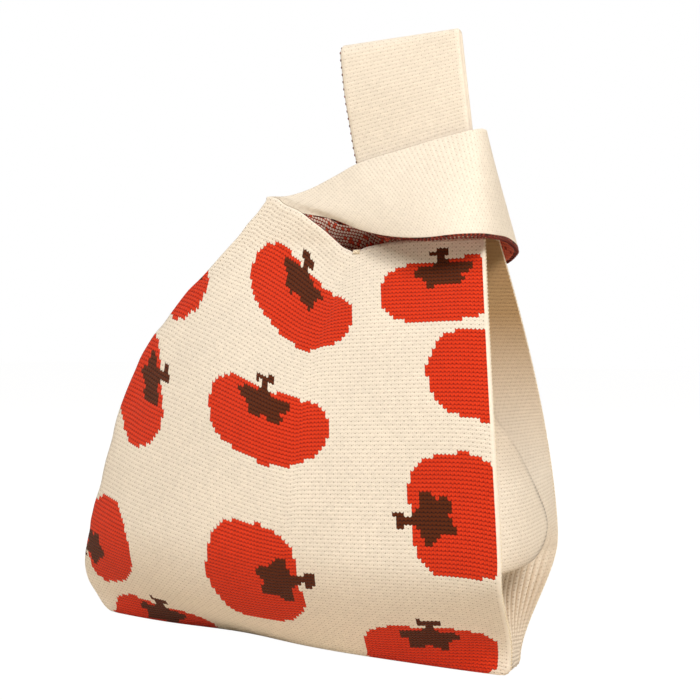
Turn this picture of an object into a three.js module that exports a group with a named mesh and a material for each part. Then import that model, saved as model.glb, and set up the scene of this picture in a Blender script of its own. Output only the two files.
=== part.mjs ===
// Knitted knot tote: two panels and two side gussets stand as a filled body,
// a short handle loop crosses over and goes round the neck of a long handle loop.
// Millimetres, X to the right, Y to the back, Z up, origin in the middle of the base.
import * as THREE from 'three';
import { mergeVertices } from 'three/addons/utils/BufferGeometryUtils.js';

// Cloth
const knitThickness = 3;
const seamCordRadius = 1.2;
const joinCordRadius = 0.8;
const pieceGap = 0.3;

// Base
const baseWidth = 303;
const baseHalfDepth = 15;
const keelHalfDepth = 9;
const bottomSeamWidth = 6.2;
const leftCornerReach = 22;
const leftCornerHeight = 34;

// Right edge of the panels, where the right gusset is linked on
const rightBellyHalfDepth = 51;
const rightBellyHeight = 70;
const rightBellySpread = 9.4;
const rightTaperPower = 1.8;
const rightLean = 22.9;
const rightLeanPower = 1.4;
const neckLean = 0.22;
const strapLean = 0.115;
const bandHeight = 300;
const neckHeight = 242;
const neckHalfDepth = 13;

// Left edge of the panels, up to the shoulder of the short handle
const leftBellyHalfDepth = 32;
const leftBellyHeight = 74;
const leftTaperPower = 1.35;
const leftTuck = 32;
const leftTuckReach = 79;
const leftLean = 119.6;
const leftLeanStart = 90;
const leftLeanPower = 1.86;
const shoulderHeight = 271;
const shoulderHalfDepth = 14;

// Middle of the panels
const middleBellyHalfDepth = 58;
const middleNeckHalfDepth = 19;
const middleRisePower = 0.9;
const middleTaperPower = 1.7;
const fullnessPower = 0.8;
const creaseStart = 8;

// Mouth line between the two handles
const cuspShare = 0.24;
const cuspDrop = 10;
const mouthShare = 0.58;
const mouthDrop = 35;
const strapRootShare = 0.77;
const mouthRise = 5;

// Gussets
const gussetTop = 262;
const gussetWall = 4;
const gussetValley = 22;
const gussetPuff = 10;
const gussetPuffHeight = 88;
const gussetPuffReach = 38;
const gussetPower = 1.3;

// Long handle
const strapWidth = 73;
const strapTop = 363;
const strapBendLeft = 299;
const strapBendRight = 312;
const strapGapLeft = 10;
const strapGapRight = 0.6;
const strapSwing = 72;

// Short handle
const loopTopLeft = 288;
const loopTopRight = 302;
const loopBottom = 241;
const loopTopStandoff = 10.5;
const loopBottomStandoff = 35;
const turnReachTop = 6.5;
const turnReachBottom = 9;
const loopCrown = 3;
const loopSwing = 3;
const rootLift = 0.9;

// Mouth tacks
const tackLength = 7;
const tackRadius = 1.1;

// Mesh steps
const panelColumns = 14;
const panelRows = 12;
const rowSpread = 1.35;
const rootRows = 4;
const gussetColumns = 8;
const strapColumns = 6;
const strapRows = 5;
const foldRows = 4;
const loopColumns = 18;
const loopRows = 6;
const seamSteps = 18;
const seamSides = 8;

const colours = {
  knit: '#f1e6cf',
  gusset: '#e4d6bd',
  seam: '#d9c7a6',
  tack: '#efe2c8',
};

const halfBase = baseWidth / 2;
const panelStart = bottomSeamWidth / 2 + pieceGap;

const clamp01 = (t) => Math.min(1, Math.max(0, t));
const clampTo = (value, low, high) => Math.min(high, Math.max(low, value));
const mix = (a, b, t) => a + (b - a) * t;
const ease = (t) => clamp01(t) ** 2 * (3 - 2 * clamp01(t));

// Outer half depth of an edge at a height: straight keel, belly, then a taper to the neck.
function edgeHalfDepth(z, belly, bellyHeight, top, topHalfDepth, power) {
  const rise = ease((z - creaseStart) / (bellyHeight - creaseStart * 1.5));
  const taper = clamp01((z - bellyHeight) / (top - bellyHeight)) ** power;
  return mix(mix(keelHalfDepth, belly, rise), topHalfDepth, taper);
}

function rightHalfDepth(z) {
  const body = edgeHalfDepth(z, rightBellyHalfDepth, rightBellyHeight, neckHeight, neckHalfDepth, rightTaperPower);
  const strapHalf = knitThickness + strapGapRight / 2;
  const above = clamp01((z - neckHeight) / (strapBendRight - neckHeight));
  return mix(body, strapHalf, above);
}

function leftHalfDepth(z) {
  return edgeHalfDepth(z, leftBellyHalfDepth, leftBellyHeight, shoulderHeight, shoulderHalfDepth, leftTaperPower);
}

function rightX(z) {
  const spread = rightBellySpread * ease(z / rightBellyHeight);
  const lean = rightLean * clamp01((z - rightBellyHeight) / (neckHeight - rightBellyHeight)) ** rightLeanPower;
  const neck = neckLean * (clampTo(z, neckHeight, bandHeight) - neckHeight);
  return halfBase + spread - lean - neck - strapLean * Math.max(0, z - bandHeight);
}

function leftX(z) {
  const climb = clamp01((z - leftLeanStart) / (shoulderHeight - leftLeanStart)) ** leftLeanPower;
  const tuck = leftTuck * ease((z - creaseStart * 2) / leftTuckReach);
  const below = 1 - Math.min(1, z / leftCornerHeight);
  const corner = leftCornerReach * (1 - Math.sqrt(1 - below ** 2));
  return -halfBase + corner + tuck + leftLean * climb;
}

// How full the body is across its width, nothing at the edges and all in the middle.
function fullness(u) {
  return Math.sin(Math.PI * u) ** fullnessPower;
}

// Outer half depth of the body at share u of its width and height z.
function bodyHalfDepth(u, z) {
  const edge = mix(leftHalfDepth(z), rightHalfDepth(z), u);
  const rise = Math.sin((Math.PI / 2) * clamp01(z / rightBellyHeight)) ** middleRisePower;
  const taper = clamp01((z - rightBellyHeight) / (neckHeight - rightBellyHeight)) ** middleTaperPower;
  const middle = mix(mix(baseHalfDepth, middleBellyHalfDepth, rise), middleNeckHalfDepth, taper);
  return mix(edge, Math.max(edge, middle), fullness(u));
}

function contactHalfDepth(u) {
  return mix(keelHalfDepth, baseHalfDepth, fullness(u));
}

// Height of the panel's top line: shoulder, cusp, lowest point of the mouth, foot of the long handle.
function panelTop(u) {
  const cusp = shoulderHeight - cuspDrop;
  const low = shoulderHeight - mouthDrop;
  if (u < cuspShare) return mix(shoulderHeight, cusp, u / cuspShare);
  if (u < mouthShare) return mix(cusp, low, (u - cuspShare) / (mouthShare - cuspShare));
  if (u < strapRootShare) return mix(low, low + mouthRise, (u - mouthShare) / (strapRootShare - mouthShare));
  return mix(low + mouthRise, neckHeight, (u - strapRootShare) / (1 - strapRootShare));
}

function bodyPoint(u, z) {
  return new THREE.Vector3(mix(leftX(z), rightX(z), u), -bodyHalfDepth(u, z), z);
}

// Right edge of the long handle, in line with the panel's right edge.
function strapX(across, z) {
  return rightX(z) - strapWidth * (1 - across);
}

function bendHeight(across) {
  return mix(strapBendLeft, strapBendRight, across);
}

// How far the bevelled ends at the bend stand off the fold axis at distance y from it.
function bendRelief(y) {
  return y * Math.tan(THREE.MathUtils.degToRad(strapSwing / 2)) + pieceGap / 2;
}

// A closed solid between two sets of points that share one list of quads.
function thickSheet(outer, inner, quads) {
  const count = outer.length;
  const index = [];
  const edges = new Set();
  for (const [a, b, c, d] of quads) {
    index.push(a, b, c, a, c, d);
    index.push(count + a, count + c, count + b, count + a, count + d, count + c);
    for (const edge of [[a, b], [b, c], [c, d], [d, a]]) edges.add(edge.join(' '));
  }
  for (const [a, b, c, d] of quads) {
    for (const [p, q] of [[a, b], [b, c], [c, d], [d, a]]) {
      if (edges.has(`${q} ${p}`)) continue;
      index.push(q, p, count + p, q, count + p, count + q);
    }
  }
  const geometry = new THREE.BufferGeometry();
  const values = [...outer, ...inner].flatMap((point) => point.toArray());
  geometry.setAttribute('position', new THREE.Float32BufferAttribute(values, 3));
  geometry.setIndex(index);
  geometry.computeVertexNormals();
  return geometry;
}

// The same sheet moved inwards along its own vertex normals.
function offsetInwards(points, quads, distance) {
  const normals = points.map(() => new THREE.Vector3());
  for (const [a, b, c, d] of quads) {
    const first = points[c].clone().sub(points[a]);
    const second = points[d].clone().sub(points[b]);
    const normal = first.cross(second);
    for (const corner of [a, b, c, d]) normals[corner].add(normal);
  }
  return points.map((point, i) => point.clone().addScaledVector(normals[i].normalize(), -distance));
}

function gridQuads(columns, rows, at) {
  const quads = [];
  for (let j = 0; j < rows; j += 1) {
    for (let i = 0; i < columns; i += 1) quads.push([at(i, j), at(i + 1, j), at(i + 1, j + 1), at(i, j + 1)]);
  }
  return quads;
}

// Back pieces are the front ones seen in a mirror across the XZ plane.
function mirrored(geometry) {
  const copy = geometry.clone().scale(1, -1, 1);
  const flipped = Array.from(copy.index.array);
  for (let i = 0; i < flipped.length; i += 3) [flipped[i], flipped[i + 1]] = [flipped[i + 1], flipped[i]];
  copy.setIndex(flipped);
  copy.computeVertexNormals();
  return copy;
}

// Column shares of the panel, with lines on the cusp, the mouth and the foot of the handle.
function columnShares() {
  const stops = [0, cuspShare, mouthShare, strapRootShare, 1];
  const shares = [0];
  for (let k = 1; k < stops.length; k += 1) {
    const span = stops[k] - stops[k - 1];
    const parts = Math.max(1, Math.round(span * panelColumns));
    for (let i = 1; i <= parts; i += 1) shares.push(stops[k - 1] + (span * i) / parts);
  }
  return shares;
}

// One panel: base strip, front, and the foot of the long handle up to its bend.
function panelSheet() {
  const shares = columnShares();
  const columns = shares.length - 1;
  const outer = shares.map((u) => new THREE.Vector3(mix(leftX(0), rightX(0), u), -panelStart, 0));
  for (const u of shares) outer.push(new THREE.Vector3(mix(leftX(0), rightX(0), u), -contactHalfDepth(u), 0));
  const rows = panelRows + 1;
  for (let j = 1; j <= panelRows; j += 1) {
    for (const u of shares) outer.push(bodyPoint(u, (j / panelRows) ** rowSpread * panelTop(u)));
  }
  const quads = gridQuads(columns, rows, (i, j) => j * (columns + 1) + i);
  const first = shares.findIndex((u) => Math.abs(u - strapRootShare) < 1e-9);
  const width = columns - first;
  const base = outer.length;
  for (let r = 1; r <= rootRows; r += 1) {
    for (let i = 0; i <= width; i += 1) {
      const across = i / width;
      const u = shares[first + i];
      const foot = bodyPoint(u, panelTop(u));
      const half = knitThickness + strapGapRight / 2;
      const z = bendHeight(across) - bendRelief(half);
      const head = new THREE.Vector3(strapX(across, z), -half, z);
      outer.push(foot.lerp(head, r / rootRows));
    }
  }
  const at = (i, r) => (r === 0 ? rows * (columns + 1) + first + i : base + (r - 1) * (width + 1) + i);
  quads.push(...gridQuads(width, rootRows, at));
  const inner = offsetInwards(outer, quads, knitThickness);
  for (let i = 0; i <= width; i += 1) {
    const across = i / width;
    const z = bendHeight(across) - bendRelief(strapGapRight / 2);
    inner[at(i, rootRows)] = new THREE.Vector3(strapX(across, z), -strapGapRight / 2, z);
  }
  const leftInside = [];
  const rightInside = [];
  for (let j = 1; j <= rows; j += 1) {
    leftInside.push(inner[j * (columns + 1)]);
    rightInside.push(inner[j * (columns + 1) + columns]);
  }
  for (let r = 1; r <= rootRows; r += 1) rightInside.push(inner[at(width, r)]);
  return { geometry: thickSheet(outer, inner, quads), leftInside, rightInside };
}

// Offset of a gusset's centre crease from the line between its two edges; outwards is positive.
function creaseOffset(z) {
  const fold = gussetValley * ease((z - gussetPuffHeight) / (neckHeight - gussetPuffHeight));
  const puff = gussetPuff * Math.exp(-(((z - gussetPuffHeight) / gussetPuffReach) ** 4));
  return puff - fold;
}

// Half depth of the room between the panels at a height, read along a panel's inner edge.
function roomHalfDepth(inside, z) {
  let k = 1;
  while (k < inside.length - 1 && inside[k].z < z) k += 1;
  const share = (z - inside[k - 1].z) / (inside[k].z - inside[k - 1].z);
  return -mix(inside[k - 1].y, inside[k].y, share) - pieceGap;
}

function gussetOffset(z, y, half) {
  return creaseOffset(z) * (1 - Math.abs(y / half) ** gussetPower);
}

// Rows of a gusset: from just above the base, on every row of the panel's inner edge, to its top.
function gussetHeights(inside) {
  const start = knitThickness + pieceGap;
  const between = inside.map((point) => point.z).filter((z) => z > start + 1 && z < gussetTop - 1);
  return [start, ...between, gussetTop];
}

// One gusset; side is 1 on the right and -1 on the left.
function gussetGeometry(side, inside) {
  const edgeX = side > 0 ? rightX : leftX;
  const heights = gussetHeights(inside);
  const outer = [];
  const inner = [];
  for (const z of heights) {
    const half = roomHalfDepth(inside, z);
    for (let i = 0; i <= gussetColumns; i += 1) {
      const y = half * mix(-1, 1, i / gussetColumns);
      const x = edgeX(z) + side * gussetOffset(z, y, half);
      outer.push(new THREE.Vector3(x, y, z));
      inner.push(new THREE.Vector3(x - side * gussetWall, y, z));
    }
  }
  const quads = gridQuads(gussetColumns, heights.length - 1, (i, j) => j * (gussetColumns + 1) + i);
  if (side < 0) quads.forEach((quad) => quad.reverse());
  return thickSheet(outer, inner, quads);
}

// Positions only, with the vertices that faces share merged.
function indexed(geometry) {
  geometry.deleteAttribute('normal');
  geometry.deleteAttribute('uv');
  const merged = mergeVertices(geometry);
  merged.computeVertexNormals();
  return merged;
}

// A round cord along a list of points, with flat ends.
function cordGeometry(points, radius, steps) {
  const outline = new THREE.Shape();
  for (let k = 0; k < seamSides; k += 1) {
    const angle = (2 * Math.PI * k) / seamSides;
    const corner = [radius * Math.cos(angle), radius * Math.sin(angle)];
    if (k === 0) outline.moveTo(...corner);
    else outline.lineTo(...corner);
  }
  outline.closePath();
  const extrudePath = new THREE.CatmullRomCurve3(points, false, 'centripetal');
  return indexed(new THREE.ExtrudeGeometry(outline, { steps, extrudePath, bevelEnabled: false }));
}

// Linking cord inside a side seam, in the corner between panel and gusset.
function sideSeamGeometry(side, inside) {
  const edgeX = side > 0 ? rightX : leftX;
  const points = [];
  const foot = leftCornerHeight;
  const head = gussetTop - seamCordRadius * 4;
  for (let k = 0; k <= seamSteps; k += 1) {
    const z = mix(foot, head, k / seamSteps);
    const half = roomHalfDepth(inside, z);
    const clear = seamCordRadius + pieceGap * 3.4;
    const y = -(half - clear);
    const slope = (gussetOffset(z, y + 0.5, half) - gussetOffset(z, y - 0.5, half)) * side;
    const reach = gussetWall + clear * Math.sqrt(1 + slope ** 2);
    const x = edgeX(z) + side * (Math.min(0, gussetOffset(z, y, half)) - reach);
    points.push(new THREE.Vector3(x, y, z));
  }
  return cordGeometry(points, seamCordRadius, seamSteps * 2);
}

// Flat linking strip between the two panels along the base.
function bottomSeamGeometry() {
  const start = leftX(0) + pieceGap;
  const end = rightX(0) - pieceGap;
  const geometry = new THREE.BoxGeometry(end - start, bottomSeamWidth, knitThickness);
  return geometry.translate((start + end) / 2, 0, knitThickness / 2);
}

// One leg of the long handle, from the bend up and over to the join along the top fold.
function strapLegGeometry() {
  const outer = [];
  const inner = [];
  const rows = strapRows + foldRows;
  for (let j = 0; j <= rows; j += 1) {
    for (let i = 0; i <= strapColumns; i += 1) {
      const across = i / strapColumns;
      const gap = mix(strapGapLeft, strapGapRight, across);
      const radius = knitThickness + gap / 2;
      const stop = Math.asin((joinCordRadius + pieceGap) / (radius - joinCordRadius));
      for (const [list, r] of [[outer, radius], [inner, radius - knitThickness]]) {
        const rootHalf = list === outer ? knitThickness + strapGapRight / 2 : strapGapRight / 2;
        const start = bendHeight(across) + bendRelief(rootHalf);
        const shoulder = strapTop - radius;
        let y = r;
        let z = mix(start, shoulder, Math.min(1, j / strapRows));
        if (j <= strapRows) y = mix(rootHalf, r, ease((2 * j) / strapRows));
        else {
          const angle = ((j - strapRows) / foldRows) * (Math.PI / 2 - stop);
          y = r * Math.cos(angle);
          z = shoulder + r * Math.sin(angle);
        }
        list.push(new THREE.Vector3(strapX(across, z), -y, z));
      }
    }
  }
  const quads = gridQuads(strapColumns, rows, (i, j) => j * (strapColumns + 1) + i);
  return thickSheet(outer, inner, quads);
}

function strapJoinGeometry() {
  const z = strapTop - joinCordRadius - pieceGap / 3;
  const end = pieceGap / strapWidth;
  const points = [end, 0.5, 1 - end].map((across) => new THREE.Vector3(strapX(across, z), 0, z));
  return cordGeometry(points, joinCordRadius, 2);
}

// Upper and lower edges of the short handle's front leg, from the shoulder to the turn.
function loopTopEdge() {
  const shoulder = bodyPoint(0, shoulderHeight);
  const left = strapX(0, loopTopLeft);
  const right = strapX(1, loopTopRight);
  const climb = loopTopLeft - shoulderHeight;
  const end = right + turnReachTop;
  const y = loopTopStandoff;
  return new THREE.CatmullRomCurve3([
    new THREE.Vector3(shoulder.x + pieceGap, shoulder.y, shoulderHeight + rootLift),
    new THREE.Vector3(mix(shoulder.x, left, 0.25), shoulder.y - 1, shoulderHeight + climb * 0.17),
    new THREE.Vector3(mix(shoulder.x, left, 0.5), mix(shoulder.y, -y, 0.4), shoulderHeight + climb * 0.32),
    new THREE.Vector3(mix(shoulder.x, left, 0.82), mix(shoulder.y, -y, 0.8), shoulderHeight + climb * 0.72),
    new THREE.Vector3(left + 3, -y, loopTopLeft + 1),
    new THREE.Vector3(mix(left, right, 0.5), -y, mix(loopTopLeft, loopTopRight, 0.52)),
    new THREE.Vector3(mix(left, right, 0.84), -y, mix(loopTopLeft, loopTopRight, 0.84)),
    new THREE.Vector3(end - turnReachTop * 0.6, -y * 0.75, mix(loopTopLeft, loopTopRight, 0.97)),
    new THREE.Vector3(end, -(joinCordRadius + pieceGap), loopTopRight),
  ], false, 'centripetal');
}

function loopLowerEdge() {
  const cusp = bodyPoint(cuspShare, panelTop(cuspShare));
  const right = strapX(1, loopBottom);
  const end = right + turnReachBottom;
  const y = loopBottomStandoff;
  const lift = THREE.MathUtils.degToRad(loopSwing) * (cusp.x - bodyPoint(0, shoulderHeight).x);
  return new THREE.CatmullRomCurve3([
    new THREE.Vector3(cusp.x + pieceGap, cusp.y, cusp.z + lift + rootLift),
    new THREE.Vector3(mix(cusp.x, right, 0.2), mix(cusp.y, -y, 0.4), mix(cusp.z, loopBottom, 0.5)),
    new THREE.Vector3(mix(cusp.x, right, 0.4), mix(cusp.y, -y, 0.7), mix(cusp.z, loopBottom, 0.72)),
    new THREE.Vector3(mix(cusp.x, right, 0.6), -y * 0.95, mix(cusp.z, loopBottom, 0.92)),
    new THREE.Vector3(mix(cusp.x, right, 0.78), -y, loopBottom - 0.5),
    new THREE.Vector3(mix(cusp.x, right, 0.95), -y * 0.98, loopBottom + 0.5),
    new THREE.Vector3(mix(right, end, 0.45), -y * 0.8, loopBottom + 1),
    new THREE.Vector3(mix(right, end, 0.92), -y * 0.48, loopBottom - 2),
    new THREE.Vector3(end, -(joinCordRadius + pieceGap), loopBottom - 5),
  ], false, 'centripetal');
}

// One leg of the short handle, a crowned band between its two edges.
function loopLegGeometry() {
  const top = loopTopEdge();
  const low = loopLowerEdge();
  const outer = [];
  for (let i = 0; i <= loopColumns; i += 1) {
    const along = i / loopColumns;
    const upper = top.getPoint(along);
    const lower = low.getPoint(along);
    for (let j = 0; j <= loopRows; j += 1) {
      const down = j / loopRows;
      const crown = loopCrown * Math.sin(Math.PI * down) * Math.cos((Math.PI / 2) * along ** 3);
      const point = upper.clone().lerp(lower, down);
      point.y -= crown;
      outer.push(point);
    }
  }
  const quads = gridQuads(loopColumns, loopRows, (i, j) => i * (loopRows + 1) + (loopRows - j));
  const inner = offsetInwards(outer, quads, knitThickness);
  for (let j = 0; j <= loopRows; j += 1) {
    const last = loopColumns * (loopRows + 1) + j;
    inner[j] = outer[j].clone().add(new THREE.Vector3(0, knitThickness, 0));
    inner[last] = outer[last].clone().add(new THREE.Vector3(-knitThickness, 0, 0));
  }
  return thickSheet(outer, inner, quads);
}

function loopJoinGeometry() {
  const inset = -(knitThickness / 2);
  const top = loopTopEdge().getPoint(1);
  const low = loopLowerEdge().getPoint(1);
  const points = [0.02, 0.5, 0.98].map((t) => top.clone().lerp(low, t).setY(0));
  points.forEach((point) => point.add(new THREE.Vector3(inset, 0, 0)));
  return cordGeometry(points, joinCordRadius, 3);
}

// A bar of thread across the lowest point of the mouth.
function tackGeometry() {
  const foot = bodyPoint(mouthShare, panelTop(mouthShare) - tackRadius * 2.5);
  const geometry = indexed(new THREE.CapsuleGeometry(tackRadius, tackLength - tackRadius * 2, 3, seamSides));
  geometry.rotateZ(Math.PI / 2);
  return geometry.translate(foot.x, foot.y - tackRadius - pieceGap * 2, foot.z);
}

const part = new THREE.Group();

function addPiece(name, geometry, colour, roughness = 0.9) {
  const material = new THREE.MeshStandardMaterial({ color: colour, roughness, metalness: 0 });
  const mesh = new THREE.Mesh(geometry, material);
  mesh.name = name;
  part.add(mesh);
}

const panel = panelSheet();
addPiece('front_panel', panel.geometry, colours.knit);
addPiece('back_panel', mirrored(panel.geometry), colours.knit);
addPiece('bottom_seam', bottomSeamGeometry(), colours.seam);

for (const [name, side, inside] of [['right', 1, panel.rightInside], ['left', -1, panel.leftInside]]) {
  addPiece(`${name}_gusset`, gussetGeometry(side, inside), colours.gusset);
  const seam = sideSeamGeometry(side, inside);
  addPiece(`front_${name}_seam`, seam, colours.seam);
  addPiece(`back_${name}_seam`, mirrored(seam), colours.seam);
}

const tack = tackGeometry();
addPiece('front_mouth_tack', tack, colours.tack);
addPiece('back_mouth_tack', mirrored(tack), colours.tack);

const loopLeg = loopLegGeometry();
addPiece('short_handle_front', loopLeg, colours.knit);
addPiece('short_handle_back', mirrored(loopLeg), colours.knit);
addPiece('short_handle_join', loopJoinGeometry(), colours.seam);

const strapLeg = strapLegGeometry();
addPiece('long_handle_front', strapLeg, colours.knit);
addPiece('long_handle_back', mirrored(strapLeg), colours.knit);
addPiece('long_handle_join', strapJoinGeometry(), colours.seam);

export default part;
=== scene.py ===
"""Knitted knot tote: a filled body whose wide long handle is drawn through its short one.

Lengths are in millimetres until a mesh is made, in the frame of the CAD model: X to the right,
Y to the back, Z up, origin in the middle of the base. The front panel faces -Y.
"""
import logging
import math
from dataclasses import dataclass, field
from enum import Enum, IntEnum

import bmesh
import bpy
import numpy as np
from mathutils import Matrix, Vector


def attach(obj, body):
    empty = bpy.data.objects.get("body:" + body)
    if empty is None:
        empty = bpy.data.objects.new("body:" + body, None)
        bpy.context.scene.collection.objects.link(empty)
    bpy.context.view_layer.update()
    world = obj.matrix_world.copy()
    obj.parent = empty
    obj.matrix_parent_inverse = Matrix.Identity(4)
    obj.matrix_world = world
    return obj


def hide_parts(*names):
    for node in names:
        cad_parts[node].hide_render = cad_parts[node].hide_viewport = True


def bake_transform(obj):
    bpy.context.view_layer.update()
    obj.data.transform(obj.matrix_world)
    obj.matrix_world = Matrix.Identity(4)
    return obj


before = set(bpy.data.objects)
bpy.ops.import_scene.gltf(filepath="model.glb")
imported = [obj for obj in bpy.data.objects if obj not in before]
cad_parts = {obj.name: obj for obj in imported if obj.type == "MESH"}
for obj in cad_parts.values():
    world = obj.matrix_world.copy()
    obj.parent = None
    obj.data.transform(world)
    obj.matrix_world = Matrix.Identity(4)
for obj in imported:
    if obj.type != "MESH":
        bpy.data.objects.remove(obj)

log = logging.getLogger("tote")

MM = 0.001
# Width of a wale and height of a course where the knit lies flat.
WALE = 2.25
COURSE = 2.15
# Height where the gussets and the side seams end.
GUSSET_TOP = 262.0
# Distance from ridge to ridge of a diagonal wave texture of scale 1.
WAVE_PERIOD = 2 * math.pi / (10 * math.sqrt(3))


class Side(Enum):
    """The two ends of the body; the value is the sign of X."""

    LEFT = -1
    RIGHT = 1


# The left gusset is folded less deeply than the right one.
GUSSET_DEPTHS = {Side.LEFT: 0.6, Side.RIGHT: 1.0}


class Face(Enum):
    """The two broad faces of the body; the value is the sign of Y."""

    FRONT = -1
    BACK = 1


class Slot(IntEnum):
    """Material slots of a piece of cloth: its two faces, then its four rims."""

    OUTER = 0
    INNER = 1
    BOTTOM = 2
    TOP = 3
    LEFT = 4
    RIGHT = 5


def clamp01(t: np.ndarray | float) -> np.ndarray:
    """Limits t to the range 0 to 1."""
    return np.clip(t, 0.0, 1.0)


def mix(a: np.ndarray | float, b: np.ndarray | float, t: np.ndarray | float) -> np.ndarray:
    """Goes from a at t = 0 to b at t = 1."""
    return a + (b - a) * t


def ease(t: np.ndarray | float) -> np.ndarray:
    """Smooth step from 0 to 1."""
    t = clamp01(t)
    return t * t * (3 - 2 * t)


def bell(t: np.ndarray | float, middle: float, reach: float) -> np.ndarray:
    """A smooth hump of height 1 round middle."""
    return np.exp(-(((t - middle) / reach) ** 2))


def up_to(z: np.ndarray, top: tuple) -> np.ndarray:
    """Fades from 1 to 0 towards a height, over the reach that comes with it."""
    return ease((top[0] - z) / top[1])


def span(s: np.ndarray, a: np.ndarray, b: np.ndarray, leave: np.ndarray, arrive: np.ndarray) -> np.ndarray:
    """Smooth way between two values.

    Args:
        s: Shares of the way, from 0 to 1.
        a: Value at the start.
        b: Value at the end.
        leave: Slope at the start.
        arrive: Slope at the end.

    Returns:
        The values at those shares.
    """
    return (
        (2 * s**3 - 3 * s**2 + 1) * a
        + (s**3 - 2 * s**2 + s) * leave
        + (3 * s**2 - 2 * s**3) * b
        + (s**3 - s**2) * arrive
    )


def curve_through(points: np.ndarray, steps: int) -> np.ndarray:
    """Samples a smooth curve through points.

    Args:
        points: Points in a row, at least three.
        steps: Steps in each span.

    Returns:
        The samples, with the last point included.
    """
    p = np.asarray(points, float)
    d = np.linalg.norm(np.diff(p, axis=0), axis=1) ** 0.5
    slope = np.diff(p, axis=0) / d[:, None]
    m = np.empty_like(p)
    m[1:-1] = (slope[:-1] * d[1:, None] + slope[1:] * d[:-1, None]) / (d[1:] + d[:-1])[:, None]
    m[0], m[-1] = slope[0], slope[-1]
    s = (np.arange(steps) / steps)[:, None]
    spans = [span(s, p[k], p[k + 1], d[k] * m[k], d[k] * m[k + 1]) for k in range(len(p) - 1)]
    return np.vstack([*spans, p[-1:]])


def value_through(knots: tuple, x: np.ndarray) -> np.ndarray:
    """Reads a smooth curve through (x, value) knots, level at each of its peaks and dips.

    Args:
        knots: The knots, with x going up.
        x: Where to read it; past the ends it keeps their values.

    Returns:
        The values.
    """
    kx, ky = np.array(knots, float).T
    slope = np.diff(ky) / np.diff(kx)
    m = np.concatenate([[slope[0]], (slope[1:] + slope[:-1]) / 2, [slope[-1]]])
    m[1:-1][slope[1:] * slope[:-1] <= 0] = 0
    x = np.clip(x, kx[0], kx[-1])
    k = np.clip(np.searchsorted(kx, x) - 1, 0, len(kx) - 2)
    h = kx[k + 1] - kx[k]
    return span((x - kx[k]) / h, ky[k], ky[k + 1], h * m[k], h * m[k + 1])


def outline_distance(outline: np.ndarray, x: np.ndarray, y: np.ndarray) -> np.ndarray:
    """Distance from points to a closed outline, positive inside it.

    Args:
        outline: Corners of the outline, one per row.
        x: First coordinates of the points.
        y: Second coordinates of the points.

    Returns:
        The signed distances.
    """
    x, y = np.broadcast_arrays(x, y)
    nearest = np.full(x.shape, np.inf)
    inside = np.zeros(x.shape, bool)
    for (ax, ay), (bx, by) in zip(outline, np.roll(outline, -1, axis=0)):
        dx, dy = bx - ax, by - ay
        share = clamp01(((x - ax) * dx + (y - ay) * dy) / max(dx * dx + dy * dy, 1e-9))
        nearest = np.minimum(nearest, np.hypot(x - ax - share * dx, y - ay - share * dy))
        inside ^= ((ay > y) != (by > y)) & (x < dx * (y - ay) / (dy or 1e-9) + ax)
    return np.where(inside, nearest, -nearest)


def run_length(grid: np.ndarray, axis: int) -> np.ndarray:
    """Length along a grid of points from its first row or column.

    Args:
        grid: The points.
        axis: 0 to go from row to row, 1 to go from column to column.

    Returns:
        The length at each point.
    """
    step = np.linalg.norm(np.diff(grid, axis=axis), axis=-1)
    start = np.zeros_like(np.take(step, [0], axis=axis))
    return np.concatenate([start, np.cumsum(step, axis=axis)], axis=axis)


def grid_normals(grid: np.ndarray) -> np.ndarray:
    """Unit normals of a grid whose rows go up and whose columns go to the right, seen from outside."""
    normal = np.cross(np.gradient(grid, axis=1), np.gradient(grid, axis=0))
    return normal / np.maximum(np.linalg.norm(normal, axis=-1, keepdims=True), 1e-9)


def mirrored(grid: np.ndarray) -> np.ndarray:
    """Takes a grid to the other broad face, with its columns turned so that it still faces out.

    Args:
        grid: Points, or stitch numbers, which only have their columns turned.

    Returns:
        The new grid.
    """
    out = grid[:, ::-1].copy()
    if out.shape[-1] == 3:
        out[..., 1] *= -1
    return out


def new_object(name: str, points: np.ndarray, faces: list, materials: list) -> bpy.types.Object:
    """Makes a smooth mesh object at the origin.

    Args:
        name: Name of the object.
        points: Points in millimetres.
        faces: Lists of point numbers.
        materials: Materials of its slots.

    Returns:
        The new object.
    """
    mesh = bpy.data.meshes.new(name)
    mesh.from_pydata((np.asarray(points, float).reshape(-1, 3) * MM).tolist(), [], faces)
    for material in materials:
        mesh.materials.append(material)
    mesh.shade_smooth()
    obj = bpy.data.objects.new(name, mesh)
    bpy.context.scene.collection.objects.link(obj)
    return obj


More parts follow.
